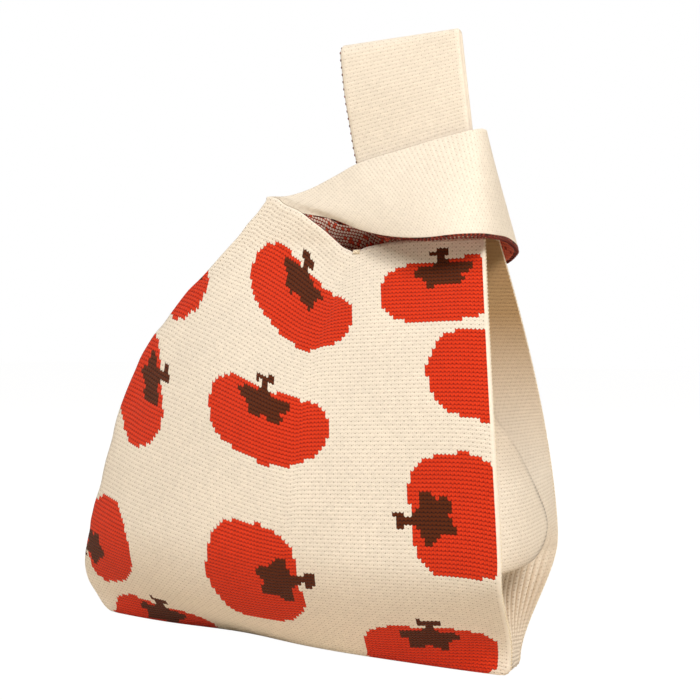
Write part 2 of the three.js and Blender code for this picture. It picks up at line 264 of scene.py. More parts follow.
@dataclass
class Cloth:
    """A piece of knitted cloth on a grid: an outer face, an inner face and a rolled rim.

    Attributes:
        name: Name of the piece.
        outer: Points of the outer face, rows going up and columns to the right as seen from outside.
        stitches: Wale and course numbers at each point.
        thickness: Thickness of the cloth.
        roll: How far the rim bulges at the bottom, top, left and right edges.
        strain: At each point, the strength of the painted shade in the folds and of the painted crease
            shadow.
    """

    name: str
    outer: np.ndarray
    stitches: np.ndarray
    thickness: float = 2.6
    roll: tuple = (0.6, 0.6, 0.6, 0.6)
    strain: np.ndarray | None = None

    def build(
        self, right_side: bpy.types.Material, reverse: bpy.types.Material, *rims: bpy.types.Material
    ) -> bpy.types.Object:
        """Makes the mesh with its finishes and the map that the stitches follow.

        Args:
            right_side: Material of the outer face.
            reverse: Material of the inner face.
            rims: Materials of the bottom, top, left and right edges.

        Returns:
            The new object.
        """
        rows, cols = self.outer.shape[:2]
        inner = self.outer - grid_normals(self.outer) * self.thickness
        count = rows * cols
        at = np.arange(count).reshape(rows, cols)
        quads = np.stack([at[:-1, :-1], at[:-1, 1:], at[1:, 1:], at[1:, :-1]], -1).reshape(-1, 4)
        faces = quads.tolist() + (quads[:, ::-1] + count).tolist()
        slots = [Slot.OUTER] * len(quads) + [Slot.INNER] * len(quads)
        face_out, face_in = self.outer.reshape(-1, 3), inner.reshape(-1, 3)
        flat = self.stitches.reshape(-1, 2)
        strain = np.zeros_like(flat) if self.strain is None else self.strain.reshape(-1, 2)
        points, numbers, painted_shade_maps = [face_out, face_in], [flat, flat], [strain, strain]
        borders = (
            (at[0, :], at[1, :]),
            (at[-1, ::-1], at[-2, ::-1]),
            (at[::-1, 0], at[::-1, 1]),
            (at[:, -1], at[:, -2]),
        )
        base = 2 * count
        for slot, ((edge, within), roll) in enumerate(zip(borders, self.roll), Slot.BOTTOM):
            out = face_out[edge] - face_out[within]
            out /= np.maximum(np.linalg.norm(out, axis=1, keepdims=True), 1e-9)
            points.append((face_out[edge] + face_in[edge]) / 2 + out * roll)
            numbers.append(flat[edge])
            painted_shade_maps.append(strain[edge])
            for j in range(len(edge) - 1):
                p, q, m = int(edge[j]), int(edge[j + 1]), base + j
                faces += [[q, p, m, m + 1], [m + 1, m, p + count, q + count]]
                slots += [slot, slot]
            base += len(edge)
        obj = new_object(self.name, np.vstack(points), faces, [right_side, reverse, *rims])
        obj.data.polygons.foreach_set("material_index", slots)
        loops = np.zeros(len(obj.data.loops), int)
        obj.data.loops.foreach_get("vertex_index", loops)
        maps = {"stitches": numbers} if self.strain is None else {"stitches": numbers, "strain": painted_shade_maps}
        for name, values in maps.items():
            layer = obj.data.uv_layers.new(name=name)
            layer.data.foreach_set("uv", np.vstack(values)[loops].ravel())
        self.close_corners(obj)
        return obj

    @staticmethod
    def close_corners(obj: bpy.types.Object) -> None:
        """Fills the small hole that two rims leave at each corner, so that the cloth is closed.

        Args:
            obj: The piece of cloth.
        """
        bm = bmesh.new()
        bm.from_mesh(obj.data)
        filled = bmesh.ops.holes_fill(bm, edges=[e for e in bm.edges if e.is_boundary], sides=4)
        for face in filled["faces"]:
            face.smooth = True
            face.material_index = Slot.BOTTOM
        bm.to_mesh(obj.data)
        bm.free()


@dataclass(frozen=True)
class BodyShape:
    """Outer shape of the filled body, with the values of the CAD model.

    Heights are above the floor, and half depths go from the middle plane to the outer face.

    Attributes:
        knit: Thickness of the cloth with its floats.
        half_base: Half the width of the base.
        base_half_depth: Half depth of the base at its middle.
        keel_half_depth: Half depth of the base at its two ends.
        left_corner: Width and height of the rounded left bottom corner.
        right_belly: Half depth and height of the belly at the right edge.
        right_spread: How far the right edge leans out from the base to the belly.
        right_lean: How far it leans in from the belly to the neck.
        right_lean_power: How late that lean comes.
        right_taper: How late the right edge thins towards the neck.
        neck_lean: Slope of the right edge along the neck.
        strap_lean: Slope of the right edge along the long handle.
        band_height: Height where the second slope takes over from the first.
        neck: Half depth and height of the neck at the right edge.
        left_belly: Half depth and height of the belly at the left edge.
        left_tuck: How far the left edge is drawn in above its corner, and over what height.
        left_lean: How far it leans in from there to the shoulder.
        left_lean_start: Height where that lean starts.
        left_lean_power: How late it comes.
        left_taper: How late the left edge thins towards the shoulder.
        shoulder: Half depth and height of the shoulder at the left edge.
        shoulder_flare: How far the shoulder's corner stands out.
        flare_heights: How far below the shoulder the flare starts, and over what height it grows.
        left_slack: Height and inward shift of points where the left edge hangs slack.
        middle: Half depth of the broad faces' middle at the belly and at the neck.
        middle_rise: How soon the middle swells from the base to the belly.
        middle_width: How soon the broad faces swell from their edges to their middle.
        middle_taper: How late the middle thins towards the neck.
        crease_start: Height where the gussets start to open from the base.
        strap_width: Width of the long handle.
        strap_gap: Gap between the long handle's two legs at its left and right edges.
        strap_bend: Heights where its legs have come together, at its left and right edges.
        strap_top: Height of the fold on its top.
        contact_dip: How far the faces are drawn in just above the floor, left of the middle.
        dip_place: Share of the width where that dip is deepest, its reach there, and its height.
    """

    knit: float = 3.0
    half_base: float = 151.5
    base_half_depth: float = 15.0
    keel_half_depth: float = 9.0
    left_corner: tuple = (22.0, 34.0)
    right_belly: tuple = (51.0, 70.0)
    right_spread: float = 9.4
    right_lean: float = 22.9
    right_lean_power: float = 1.4
    right_taper: float = 1.8
    neck_lean: float = 0.22
    strap_lean: float = 0.115
    band_height: float = 300.0
    neck: tuple = (13.0, 242.0)
    left_belly: tuple = (32.0, 74.0)
    left_tuck: tuple = (32.0, 79.0)
    left_lean: float = 119.6
    left_lean_start: float = 90.0
    left_lean_power: float = 1.86
    left_taper: float = 1.35
    shoulder: tuple = (14.0, 271.0)
    shoulder_flare: float = 3.0
    flare_heights: tuple = (9.0, 10.0)
    left_slack: tuple = (
        (0, 3), (10, 2.5), (22, 0.5), (36, 0.8), (50, 2), (58, 2.2), (68, 0), (80, -2),
        (92, -0.5), (105, 1), (120, 2.6), (132, 1.5), (150, 0.5), (165, -0.5), (177, -2),
        (187, -2), (197, 0), (215, 0), (225, 2.5), (238, 3), (248, 3), (258, 0.5), (280, 0),
    )
    middle: tuple = (58.0, 19.0)
    middle_rise: float = 0.9
    middle_width: float = 0.8
    middle_taper: float = 1.7
    crease_start: float = 8.0
    strap_width: float = 73.0
    strap_gap: tuple = (10.0, 0.6)
    strap_bend: tuple = (299.0, 312.0)
    strap_top: float = 363.0
    contact_dip: float = 8.0
    dip_place: tuple = (0.36, 0.16, 30.0)

    def edge_half_depth(self, z: np.ndarray, belly: tuple, top: tuple, power: float) -> np.ndarray:
        """Half depth of a side edge: straight base, belly, then a taper to the top.

        Args:
            z: Heights.
            belly: Half depth and height of the belly.
            top: Half depth and height of the top.
            power: How late the taper comes.

        Returns:
            The half depths at those heights.
        """
        rise = ease((z - self.crease_start) / (belly[1] - self.crease_start * 1.5))
        taper = clamp01((z - belly[1]) / (top[1] - belly[1])) ** power
        return mix(mix(self.keel_half_depth, belly[0], rise), top[0], taper)

    def right_half_depth(self, z: np.ndarray) -> np.ndarray:
        """Half depth at the right edge, up to where the long handle's legs meet.

        Args:
            z: Heights.

        Returns:
            The half depths at those heights.
        """
        body = self.edge_half_depth(z, self.right_belly, self.neck, self.right_taper)
        flat = self.knit + self.strap_gap[1] / 2
        return mix(body, flat, clamp01((z - self.neck[1]) / (self.strap_bend[1] - self.neck[1])))

    def left_half_depth(self, z: np.ndarray) -> np.ndarray:
        """Half depth at the left edge."""
        return self.edge_half_depth(z, self.left_belly, self.shoulder, self.left_taper)

    def right_x(self, z: np.ndarray) -> np.ndarray:
        """Right edge of the panels and, above them, of the long handle.

        Args:
            z: Heights.

        Returns:
            X at those heights.
        """
        z = np.asarray(z, float)
        height = self.right_belly[1]
        lean = clamp01((z - height) / (self.neck[1] - height)) ** self.right_lean_power
        neck = self.neck_lean * (np.clip(z, self.neck[1], self.band_height) - self.neck[1])
        strap = self.strap_lean * np.maximum(0, z - self.band_height)
        return self.half_base + self.right_spread * ease(z / height) - self.right_lean * lean - neck - strap

    def left_x(self, z: np.ndarray) -> np.ndarray:
        """Left edge of the panels.

        Args:
            z: Heights.

        Returns:
            X at those heights.
        """
        z = np.asarray(z, float)
        start = self.left_lean_start
        climb = clamp01((z - start) / (self.shoulder[1] - start)) ** self.left_lean_power
        tuck = self.left_tuck[0] * ease((z - self.crease_start * 2) / self.left_tuck[1])
        below = 1 - np.minimum(1, z / self.left_corner[1])
        corner = self.left_corner[0] * (1 - np.sqrt(1 - below**2))
        start, reach = self.flare_heights
        flare = self.shoulder_flare * ease((z - self.shoulder[1] + start) / reach)
        slack = value_through(self.left_slack, z)
        return -self.half_base + corner + tuck + self.left_lean * climb - flare + slack

    def half_depth(self, u: np.ndarray, z: np.ndarray) -> np.ndarray:
        """Half depth of the broad faces.

        Args:
            u: Shares of the width, from the left edge to the right one.
            z: Heights.

        Returns:
            The half depths there.
        """
        edge = mix(self.left_half_depth(z), self.right_half_depth(z), u)
        height = self.right_belly[1]
        rise = np.sin(math.pi / 2 * clamp01(z / height)) ** self.middle_rise
        taper = clamp01((z - height) / (self.neck[1] - height)) ** self.middle_taper
        middle = mix(mix(self.base_half_depth, self.middle[0], rise), self.middle[1], taper)
        full = np.maximum(np.sin(math.pi * u), 0) ** self.middle_width
        share, reach, top = self.dip_place
        dip = self.contact_dip * bell(u, share, reach) * (1 - ease(z / top))
        return mix(edge, np.maximum(edge, middle), full) - dip

    def front(self, u: np.ndarray, z: np.ndarray) -> np.ndarray:
        """Points of the front face.

        Args:
            u: Shares of the width.
            z: Heights.

        Returns:
            The points.
        """
        u, z = np.broadcast_arrays(np.asarray(u, float), np.asarray(z, float))
        x = mix(self.left_x(z), self.right_x(z), u)
        return np.stack([x, -self.half_depth(u, z), z], -1)

    def strap_x(self, across: np.ndarray, z: np.ndarray) -> np.ndarray:
        """X of the long handle at a share of its width."""
        return self.right_x(z) - self.strap_width * (1 - across)


@dataclass(frozen=True)
class Swell:
    """A shallow wave of a broad face, strongest round one height.

    Attributes:
        depth: How far it stands out.
        across: Turns of the wave per share of the width, in radians.
        up: Turns of the wave per millimetre of height, in radians.
        start: Turn that it starts with.
        height: Height where it is strongest.
        reach: How far from there it fades.
    """

    depth: float
    across: float
    up: float
    start: float
    height: float
    reach: float

    def at(self, u: np.ndarray, z: np.ndarray) -> np.ndarray:
        """How far the wave stands out at a share of the width and a height."""
        wave = np.sin(self.across * u + self.up * z + self.start)
        return self.depth * wave * bell(z, self.height, self.reach)


@dataclass(frozen=True)
class Panel:
    """One broad face: base strip, belly and neckline, up to the roots of the two handles.

    Attributes:
        shape: Shape of the body.
        mouth: Share of the width and height of points along the top line.
        lowest: Share of the width where the mouth is lowest.
        back_rise: How much higher the back's neckline stands at its middle.
        back_rise_span: Share of the width where that rise starts, how soon it is full, where it
            ends, and how soon it fades before that.
        columns: Steps across.
        rows: Steps up the face.
        row_power: How much closer together the rows lie near the base.
        base_rows: Steps of the strip that turns under the body.
        base_inset: How far that strip's edge lies inside the face.
        band_root: Columns that the short handle grows from.
        strap_root: Columns that the long handle grows from.
        courses: Courses from the bottom seam to the top line.
        wales: Wales across the base.
        hem_corner: Radius of the right bottom corner.
        hem_power: How close to that corner the rounding stays.
        hem_rows: Steps above the base over which its fold is rounded.
        swells: Waves of the filled cloth.
        hollow: Depth of the dent beside the mouth, its share of the width and reach there, and its
            height and reach there.
        hem_hold: Height over which the waves grow from the base.
        side_hold: Share of the width over which they grow from the side seams.
        top_hold: Height over which they fade to the top line.
    """

    shape: BodyShape
    mouth: tuple = (
        (0, 273), (0.02, 272.9), (0.06, 271.4), (0.12, 267.6), (0.25, 261), (0.32, 255.9),
        (0.383, 250.7), (0.444, 245.1), (0.501, 239.6), (0.535, 237.3), (0.566, 235.6),
        (0.582, 237.6), (0.625, 239.6), (0.683, 240.9), (0.741, 241.7), (0.784, 242), (1, 242),
    )
    lowest: float = 0.566
    back_rise: float = 9.0
    back_rise_span: tuple = (0.27, 0.22, 0.76, 0.14)
    columns: int = 160
    rows: int = 120
    row_power: float = 1.2
    base_rows: int = 4
    base_inset: float = 3.2
    band_root: int = 40
    strap_root: int = 36
    courses: float = 123.0
    wales: float = 136.0
    hem_corner: float = 6.0
    hem_power: float = 12.0
    hem_rows: int = 8
    swells: tuple = (
        Swell(0.8, 9, 1 / 31, 0, 150, 70),
        Swell(0.5, 21, -1 / 17, 0, 190, 60),
        Swell(0.6, 15, 0, 2, 30, 26),
    )
    hollow: tuple = (2.2, 0.42, 0.13, 226, 26)
    hem_hold: float = 12.0
    side_hold: float = 0.06
    top_hold: float = 14.0

    def grid(self, face: Face = Face.FRONT) -> np.ndarray:
        """Points of a panel's outer face, in the place of the front one.

        Args:
            face: Which panel.

        Returns:
            The points, rows going up and columns to the right.
        """
        u = np.linspace(0, 1, self.columns + 1)
        top = value_through(self.mouth, u)
        if face is Face.BACK:
            start, grow, end, fade = self.back_rise_span
            top = top + self.back_rise * ease((u - start) / grow) * ease((end - u) / fade)
        share = (np.arange(self.rows + 1) / self.rows)[:, None] ** self.row_power
        wall = self.shape.front(u[None, :], share * top[None, :])
        inset = (np.arange(self.base_rows) / self.base_rows)[:, None, None]
        base = mix(wall[:1] * [1, 0, 1] + [0, -self.base_inset, 0], wall[:1], inset)
        grid = np.vstack([base, wall])
        below = clamp01(1 - grid[..., 2] / self.hem_corner)
        grid[..., 0] -= self.hem_corner * (1 - np.sqrt(1 - below**2)) * u**self.hem_power
        for _ in range(2):
            low = grid[: self.base_rows + self.hem_rows]
            low[1:-1, :, 1:] = (low[:-2, :, 1:] + 2 * low[1:-1, :, 1:] + low[2:, :, 1:]) / 4
        return self.settled(grid, u)

    def settled(self, grid: np.ndarray, u: np.ndarray) -> np.ndarray:
        """Adds the shallow hollows and swells of filled cloth, along the surface's normal.

        Args:
            grid: Points of the smooth face.
            u: Share of the width of each column.

        Returns:
            The moved points.
        """
        z = grid[..., 2]
        u = np.broadcast_to(u, z.shape)
        depth, share, share_reach, height, height_reach = self.hollow
        wave = -depth * bell(u, share, share_reach) * bell(z, height, height_reach)
        wave = wave + sum(swell.at(u, z) for swell in self.swells)
        hold = ease(z / self.hem_hold) * ease(u / self.side_hold) * ease((1 - u) / self.side_hold)
        hold = hold * ease((grid[-1:, :, 2] - z) / self.top_hold)
        return grid + grid_normals(grid) * (wave * hold)[..., None]

    def stitches(self, grid: np.ndarray) -> np.ndarray:
        """Counts the stitches: courses run across, and wales are counted from the right edge.

        Args:
            grid: Points of the face.

        Returns:
            Wale and course number at each point.
        """
        up = run_length(grid, 0)
        across = run_length(grid, 1)
        return np.stack([self.wales - (across[:, -1:] - across) / WALE, up / up[-1:] * self.courses], -1)

    def build(self, face: Face, finishes: "Finishes") -> bpy.types.Object:
        """Makes the front or the back panel.

        Args:
            face: Which one.
            finishes: Finishes of the bag.

        Returns:
            The new object.
        """
        grid = self.grid(face)
        stitches = self.stitches(grid)
        roots = (self.band_root, self.strap_root)
        if face is Face.BACK:
            grid, stitches = mirrored(grid), mirrored(stitches)
            stitches[..., 0] = self.wales - stitches[..., 0]
            roots = roots[::-1]
        name = f"{face.name.lower()}_body"
        cloth = Cloth(name, grid, stitches, roll=(0.3, 0.0, 0.5, 0.5))
        rims = (finishes.edge, finishes.selvedge, finishes.edge, finishes.edge)
        obj = cloth.build(finishes.jacquard, finishes.birdseye, *rims)
        # Only the open mouth shows the dark edge: beside it the cloth goes on as the handles.
        left, right = sorted(grid[-1, k, 0] * MM for k in (roots[0], -roots[1] - 1))
        for polygon in obj.data.polygons:
            if polygon.material_index == Slot.TOP and not left < polygon.center.x < right:
                polygon.material_index = Slot.BOTTOM
        return obj


@dataclass(frozen=True)
class LongHandle:
    """The wide handle: one ribbon from the front panel, over a fold, down to the back panel.

    Attributes:
        panel: Panel that it grows from.
        wales: Wales across it.
        leg_rows: Rows from the foot up to where the two legs have come together.
        top_rows: Rows from there to the fold.
        fold_rows: Rows over the fold.
        early: How far below the CAD model's height the legs come together.
        closing: How soon above that they have closed to the fold's radius.
    """

    panel: Panel
    wales: float = 32.0
    leg_rows: int = 34
    top_rows: int = 24
    fold_rows: int = 8
    early: float = 6.0
    closing: float = 1.4

    def front_leg(self) -> np.ndarray:
        """Points from the foot up to the start of the fold.

        Returns:
            The points, rows going up.
        """
        shape = self.panel.shape
        body = self.panel.grid()[:, -self.panel.strap_root - 1 :]
        foot, below = body[-1], body[-4]
        a = np.linspace(0, 1, self.panel.strap_root + 1)
        slope = (foot[:, 1] - below[:, 1]) / (foot[:, 2] - below[:, 2])
        flat = shape.knit + shape.strap_gap[1] / 2
        bend = mix(*shape.strap_bend, a) - self.early
        s = (np.arange(self.leg_rows) / self.leg_rows)[:, None]
        rise = bend - foot[:, 2]
        z = foot[:, 2] + rise * s
        y = span(s, foot[:, 1], -flat, rise * slope, 0)
        x = mix(foot[:, 0] - shape.right_x(foot[:, 2]), -shape.strap_width * (1 - a), ease(s))
        leg = np.stack([shape.right_x(z) + x, y, z], -1)
        radius = shape.knit + mix(*shape.strap_gap, a) / 2
        t = (np.arange(self.top_rows + 1) / self.top_rows)[:, None]
        z = mix(bend, shape.strap_top - radius, t)
        y = -mix(flat, radius, ease(self.closing * t))
        return np.vstack([leg, np.stack([shape.strap_x(a, z), y, z], -1)])

    def grid(self) -> np.ndarray:
        """Points of the whole ribbon's outer face.

        Returns:
            The points, rows going from the front foot over the fold to the back one.
        """
        shape = self.panel.shape
        leg = self.front_leg()
        a = np.linspace(0, 1, leg.shape[1])
        radius = shape.knit + mix(*shape.strap_gap, a) / 2
        turn = math.pi * np.arange(1, self.fold_rows)[:, None] / self.fold_rows
        z = shape.strap_top - radius * (1 - np.sin(turn))
        fold = np.stack([shape.strap_x(a, z), -radius * np.cos(turn), z], -1)
        return np.vstack([leg, fold, leg[::-1] * [1, -1, 1]])

    def build(self, finishes: "Finishes") -> bpy.types.Object:
        """Makes the ribbon.

        Args:
            finishes: Finishes of the bag.

        Returns:
            The new object.
        """
        grid = self.grid()
        up = run_length(grid, 0).mean(axis=1, keepdims=True)
        a = np.linspace(0, 1, grid.shape[1])[None, :]
        stitches = np.stack(np.broadcast_arrays(a * self.wales, self.panel.courses + up / COURSE), -1)
        cloth = Cloth("long_handle_knit", grid, stitches, roll=(0, 0, 1.1, 1.1))
        return cloth.build(finishes.plain, finishes.birdseye, *[finishes.edge] * 4)


@dataclass(frozen=True)
class ShortHandle:
    """The band: one ribbon from the front shoulder round the long handle's neck to the back one.

    Attributes:
        panel: Panel that it grows from.
        cusp: Share of the panel's width and height where its lower edge starts.
        loop_top: Heights of its upper edge at the long handle's left and right edges.
        loop_bottom: Height of its lower edge there.
        top_standoff: Half depth of the loop along its upper edge.
        bottom_standoff: Half depth of the loop along its lower edge.
        turn_reach: How far its upper and lower edges reach past the long handle where it turns.
        crown: How far its middle stands out between its edges.
        crown_gap: Share of a half, from the turn, over which that fades.
        crown_ease: Share of a half, from the root, over which it grows.
        root_ease: Share of a half over which it settles onto the panel's top line.
        back_sag: How much lower each point of the back half's lower edge hangs.
        back_push: How much further out it stands.
        steps: Steps between two points of an edge.
    """

    panel: Panel
    cusp: tuple = (0.25, 261.0)
    loop_top: tuple = (288.0, 302.0)
    loop_bottom: float = 241.0
    top_standoff: float = 10.5
    bottom_standoff: float = 38.0
    turn_reach: tuple = (9.5, 9.5)
    crown: float = 3.0
    crown_gap: float = 0.12
    crown_ease: float = 0.3
    root_ease: float = 0.16
    back_sag: tuple = (0, 9.5, 10.5, 10, 10, 9.5, 5.5, 3)
    back_push: tuple = (0, 4.4, 5, 2.6, 1, 0, 0, 0)
    steps: int = 10

    def top_edge(self) -> np.ndarray:
        """Points of the front half's upper edge.

        Returns:
            The points, from the shoulder to the turn.
        """
        shape = self.panel.shape
        shoulder = shape.front(0, shape.shoulder[1])
        left, right = shape.strap_x(0, self.loop_top[0]), shape.strap_x(1, self.loop_top[1])
        low, high = self.loop_top
        foot = shape.shoulder[1]
        y = -self.top_standoff
        end = right + self.turn_reach[0]
        return np.array([
            shoulder,
            (mix(shoulder[0], left, 0.25), shoulder[1] - 1, mix(foot, low, 0.07)),
            (mix(shoulder[0], left, 0.5), mix(shoulder[1], y, 0.4), mix(foot, low, 0.28)),
            (mix(shoulder[0], left, 0.82), mix(shoulder[1], y, 0.8), mix(foot, low, 0.72)),
            (left + 3, y, low + 1),
            (mix(left, right, 0.5), y, mix(low, high, 0.52)),
            (mix(left, right, 0.84), y, mix(low, high, 0.84)),
            (end - self.turn_reach[0] * 0.45, y * 0.8, mix(low, high, 1.02)),
            (end, 0, high + 1.5),
        ])

    def low_edge(self) -> np.ndarray:
        """Points of the front half's lower edge.

        Returns:
            The points, from the cusp beside the mouth to the turn.
        """
        shape = self.panel.shape
        cusp = shape.front(*self.cusp)
        right = shape.strap_x(1, self.loop_bottom)
        end = right + self.turn_reach[1]
        low, y = self.loop_bottom, -self.bottom_standoff
        return np.array([
            cusp,
            (mix(cusp[0], right, 0.2), mix(cusp[1], y, 0.16), mix(cusp[2], low, 0.26)),
            (mix(cusp[0], right, 0.4), mix(cusp[1], y, 0.5), mix(cusp[2], low, 0.68)),
            (mix(cusp[0], right, 0.6), y * 0.9, mix(cusp[2], low, 0.94)),
            (mix(cusp[0], right, 0.78), y, low - 0.5),
            (mix(cusp[0], right, 0.95), y * 0.98, low + 0.5),
            (mix(right, end, 0.45), y * 0.8, low + 1),
            (mix(right, end, 0.92), y * 0.48, low + 1),
            (end, 0, low + 1),
        ])

    def grid(self) -> np.ndarray:
        """Points of the band's outer face.

        Returns:
            The points, rows from the lower edge up and columns from the front root to the back one.
        """
        low = self.around(self.low_edge(), self.back_sag, self.back_push)
        top = self.around(self.top_edge())
        share = np.linspace(0, 1, self.panel.band_root + 1)[:, None, None]
        grid = mix(low[None], top[None], share)
        along = np.linspace(-1, 1, grid.shape[1])
        crown = self.crown * np.sin(math.pi * share[..., 0]) * (1 - bell(along, 0, self.crown_gap))
        grid[..., 1] += np.sign(along) * crown * ease((1 - np.abs(along)) / self.crown_ease)
        root = self.panel.grid()[-1, : self.panel.band_root + 1][::-1]
        for column, sign in ((0, 1), (-1, -1)):
            shift = root * [1, sign, 1] - grid[:, column]
            fade = 1 - ease((1 - along * -sign) / self.root_ease)
            grid += shift[:, None] * fade[None, :, None]
        return grid

    def around(self, edge: np.ndarray, sag: tuple | float = 0, push: tuple | float = 0) -> np.ndarray:
        """Carries an edge of the front half on round the turn and along the back half.

        Args:
            edge: Points of the front half's edge.
            sag: How much lower the back half's points hang.
            push: How much further out they stand.

        Returns:
            Points of a smooth curve through both halves.
        """
        back = edge[:-1] * [1, -1, 1]
        back[:, 1] += push
        back[:, 2] -= sag
        return curve_through(np.vstack([edge, back[::-1]]), self.steps)

    def build(self, finishes: "Finishes") -> bpy.types.Object:
        """Makes the band.

        Args:
            finishes: Finishes of the bag.

        Returns:
            The new object.
        """
        grid = self.grid()
        across = run_length(grid, 0) / WALE
        along = run_length(grid, 1).mean(axis=0, keepdims=True) / COURSE
        stitches = np.stack(np.broadcast_arrays(across, self.panel.courses + along), -1)
        cloth = Cloth("short_handle_knit", grid, stitches, roll=(1.0, 1.0, 0, 0))
        rims = (finishes.selvedge, finishes.edge, finishes.edge, finishes.edge)
        return cloth.build(finishes.plain, finishes.red_birdseye, *rims)


@dataclass(frozen=True)
class Spot:
    """A soft spot on a gusset; shares of its half depth are below 0 towards the front.

    Attributes:
        strength: Value at its middle.
        height: Height of its middle.
        height_reach: How far up and down it fades.
        share: Share of the half depth at its middle.
        share_reach: How far across it fades.
    """

    strength: float
    height: float
    height_reach: float
    share: float
    share_reach: float

    def at(self, t: np.ndarray, z: np.ndarray) -> np.ndarray:
        """Value of the spot at a share of the half depth and a height."""
        return self.strength * bell(z, self.height, self.height_reach) * bell(t, self.share, self.share_reach)


@dataclass(frozen=True)
class Gusset:
    """A plain side piece between the panels, folded in at the neck and pushed out at the belly.

    Where a field is a pair of a height and a reach, something fades out below that height over
    that reach, or is strongest at that height and fades away from it.

    Attributes:
        shape: Shape of the body.
        side: Which end.
        depth: Share of the full fold depths that this side has.
        fold: Height and outward offset of points down the middle.
        fold_powers: How square that fold is across, away from the belly and at it.
        belly: Height and reach of the belly.
        puff: Outline of the puffed part that overhangs it: share of the half depth, and height.
        puff_scale: Half depth that the outline's shares stand for.
        puff_height: How far that part stands out.
        puff_swell: How soon from the front it is full, and how round it is there.
        puff_top: Height and reach where it ends.
        puff_edge: Width of its rounded edge.
        crease_depth: Depth of the crease under that edge.
        crease_reach: Width of the crease.
        crease_top: Height and reach where it ends.
        ribs: Ribs across the gusset where it is gathered to the base.
        rib_depth: How far they stand out.
        rib_place: Height and reach of the ribs.
        inset: How far inside the panels' outer faces its edges lie.
        clearance: How far it stands off the side edge.
        fold_shade_heights: Heights between which painted shade darkens its knit towards the deep upper fold,
            from not at all to fully.
        rib_shade: Strength of the painted shade between the ribs under the puff, how much less it is on them,
            height, reach.
        puff_shadow_spot: Where shade is painted under the puff.
        crease_shadow_line: How far inside the puff's outline its painted crease shadow is darkest, and the
            reach of it.
        crease_shadow_least: Least strength of that painted shadow, and height and reach of the full strength.
        crease_shadow_top: Height and reach where it ends.
        crease_shadow_front: How far before the middle it starts, and over how far it grows.
        shadow_spots: Other places with painted shade: the front corner by the base, and under the puff.
        spread: Share of the rows and their height, closer together where the folds are sharp.
        rows: Steps up.
        columns: Steps across.
        wales: Wales across.
    """

    shape: BodyShape
    side: Side
    depth: float = 1.0
    fold: tuple = (
        (3, 0), (15, -4), (30, -11), (45, -15), (58, -13), (66, -6), (75, 1), (88, 3.5), (100, 2.5),
        (112, -1), (124, -6), (136, -11), (150, -16), (170, -19), (200, -22), (242, -24), (GUSSET_TOP, -22),
    )
    fold_powers: tuple = (1.15, 2.2)
    belly: tuple = (84.0, 30.0)
    puff: tuple = (
        (-1.6, 151), (-1.0, 148), (-0.68, 134), (-0.39, 120.5), (-0.13, 109), (0.06, 99.5),
        (0.22, 90), (0.26, 81.5), (0.16, 74), (0, 69.5), (-0.24, 66.3), (-0.55, 65.2), (-1.6, 64.5),
    )
    puff_scale: float = 50.0
    puff_height: float = 6.8
    puff_swell: tuple = (1.5, 2.2)
    puff_top: tuple = (154.0, 22.0)
    puff_edge: float = 2.2
    crease_depth: float = 8.0
    crease_reach: float = 2.6
    crease_top: tuple = (152.0, 14.0)
    ribs: int = 16
    rib_depth: float = 0.9
    rib_place: tuple = (42.0, 20.0)
    inset: float = 2.4
    clearance: float = 0.1
    fold_shade_heights: tuple = (108.0, 200.0)
    rib_shade: tuple = (0.5, 0.35, 38.0, 24.0)
    puff_shadow_spot: Spot = Spot(0.95, 50, 16, -0.7, 0.45)
    crease_shadow_line: tuple = (1.6, 2.8)
    crease_shadow_least: tuple = (0.4, 88.0, 36.0)
    crease_shadow_top: tuple = (150.0, 12.0)
    crease_shadow_front: tuple = (48.0, 50.0)
    shadow_spots: tuple = (Spot(0.6, 13, 7, -0.7, 0.35), Spot(0.42, 50, 13, -0.4, 0.6))
    spread: tuple = ((0, 3.3), (0.16, 54), (0.36, 80), (0.6, 122), (1, GUSSET_TOP))
    rows: int = 170
    columns: int = 180
    wales: float = 46.0

    def grid(self) -> tuple[np.ndarray, np.ndarray]:
        """Points of the outer face, and the painted shade there.

        Returns:
            The points, rows going up and columns to the right as seen from outside; and at each
            point the strength of the painted shade in the folds and of the painted crease shadow.
        """
        z = value_through(self.spread, np.linspace(0, 1, self.rows + 1))[:, None]
        t = np.linspace(-1, 1, self.columns + 1)[None, :] * self.side.value
        shape = self.shape
        if self.side is Side.RIGHT:
            half, edge = shape.right_half_depth(z) - self.inset, shape.right_x(z)
        else:
            half, edge = shape.left_half_depth(z) - self.inset, shape.left_x(z)
        away = self.puff_distance(t, z)
        ribs = np.cos(self.ribs * math.pi * t) * (1 - t**4)
        offset = self.offset(t, z, away, ribs)
        x = edge + self.side.value * (self.clearance + self.depth * offset)
        grid = np.stack(np.broadcast_arrays(x, t * half, z), -1)
        fold_shade_share, painted_shade = self.fold_shade(t, z, ribs), self.shade(t, z, away)
        return grid, np.stack(np.broadcast_arrays(fold_shade_share, painted_shade), -1)

    def puff_distance(self, t: np.ndarray, z: np.ndarray) -> np.ndarray:
        """How far inside the puff's outline a place is."""
        outline = curve_through(np.array(self.puff) * [self.puff_scale, 1], 6)
        return outline_distance(outline, t * self.puff_scale, z)

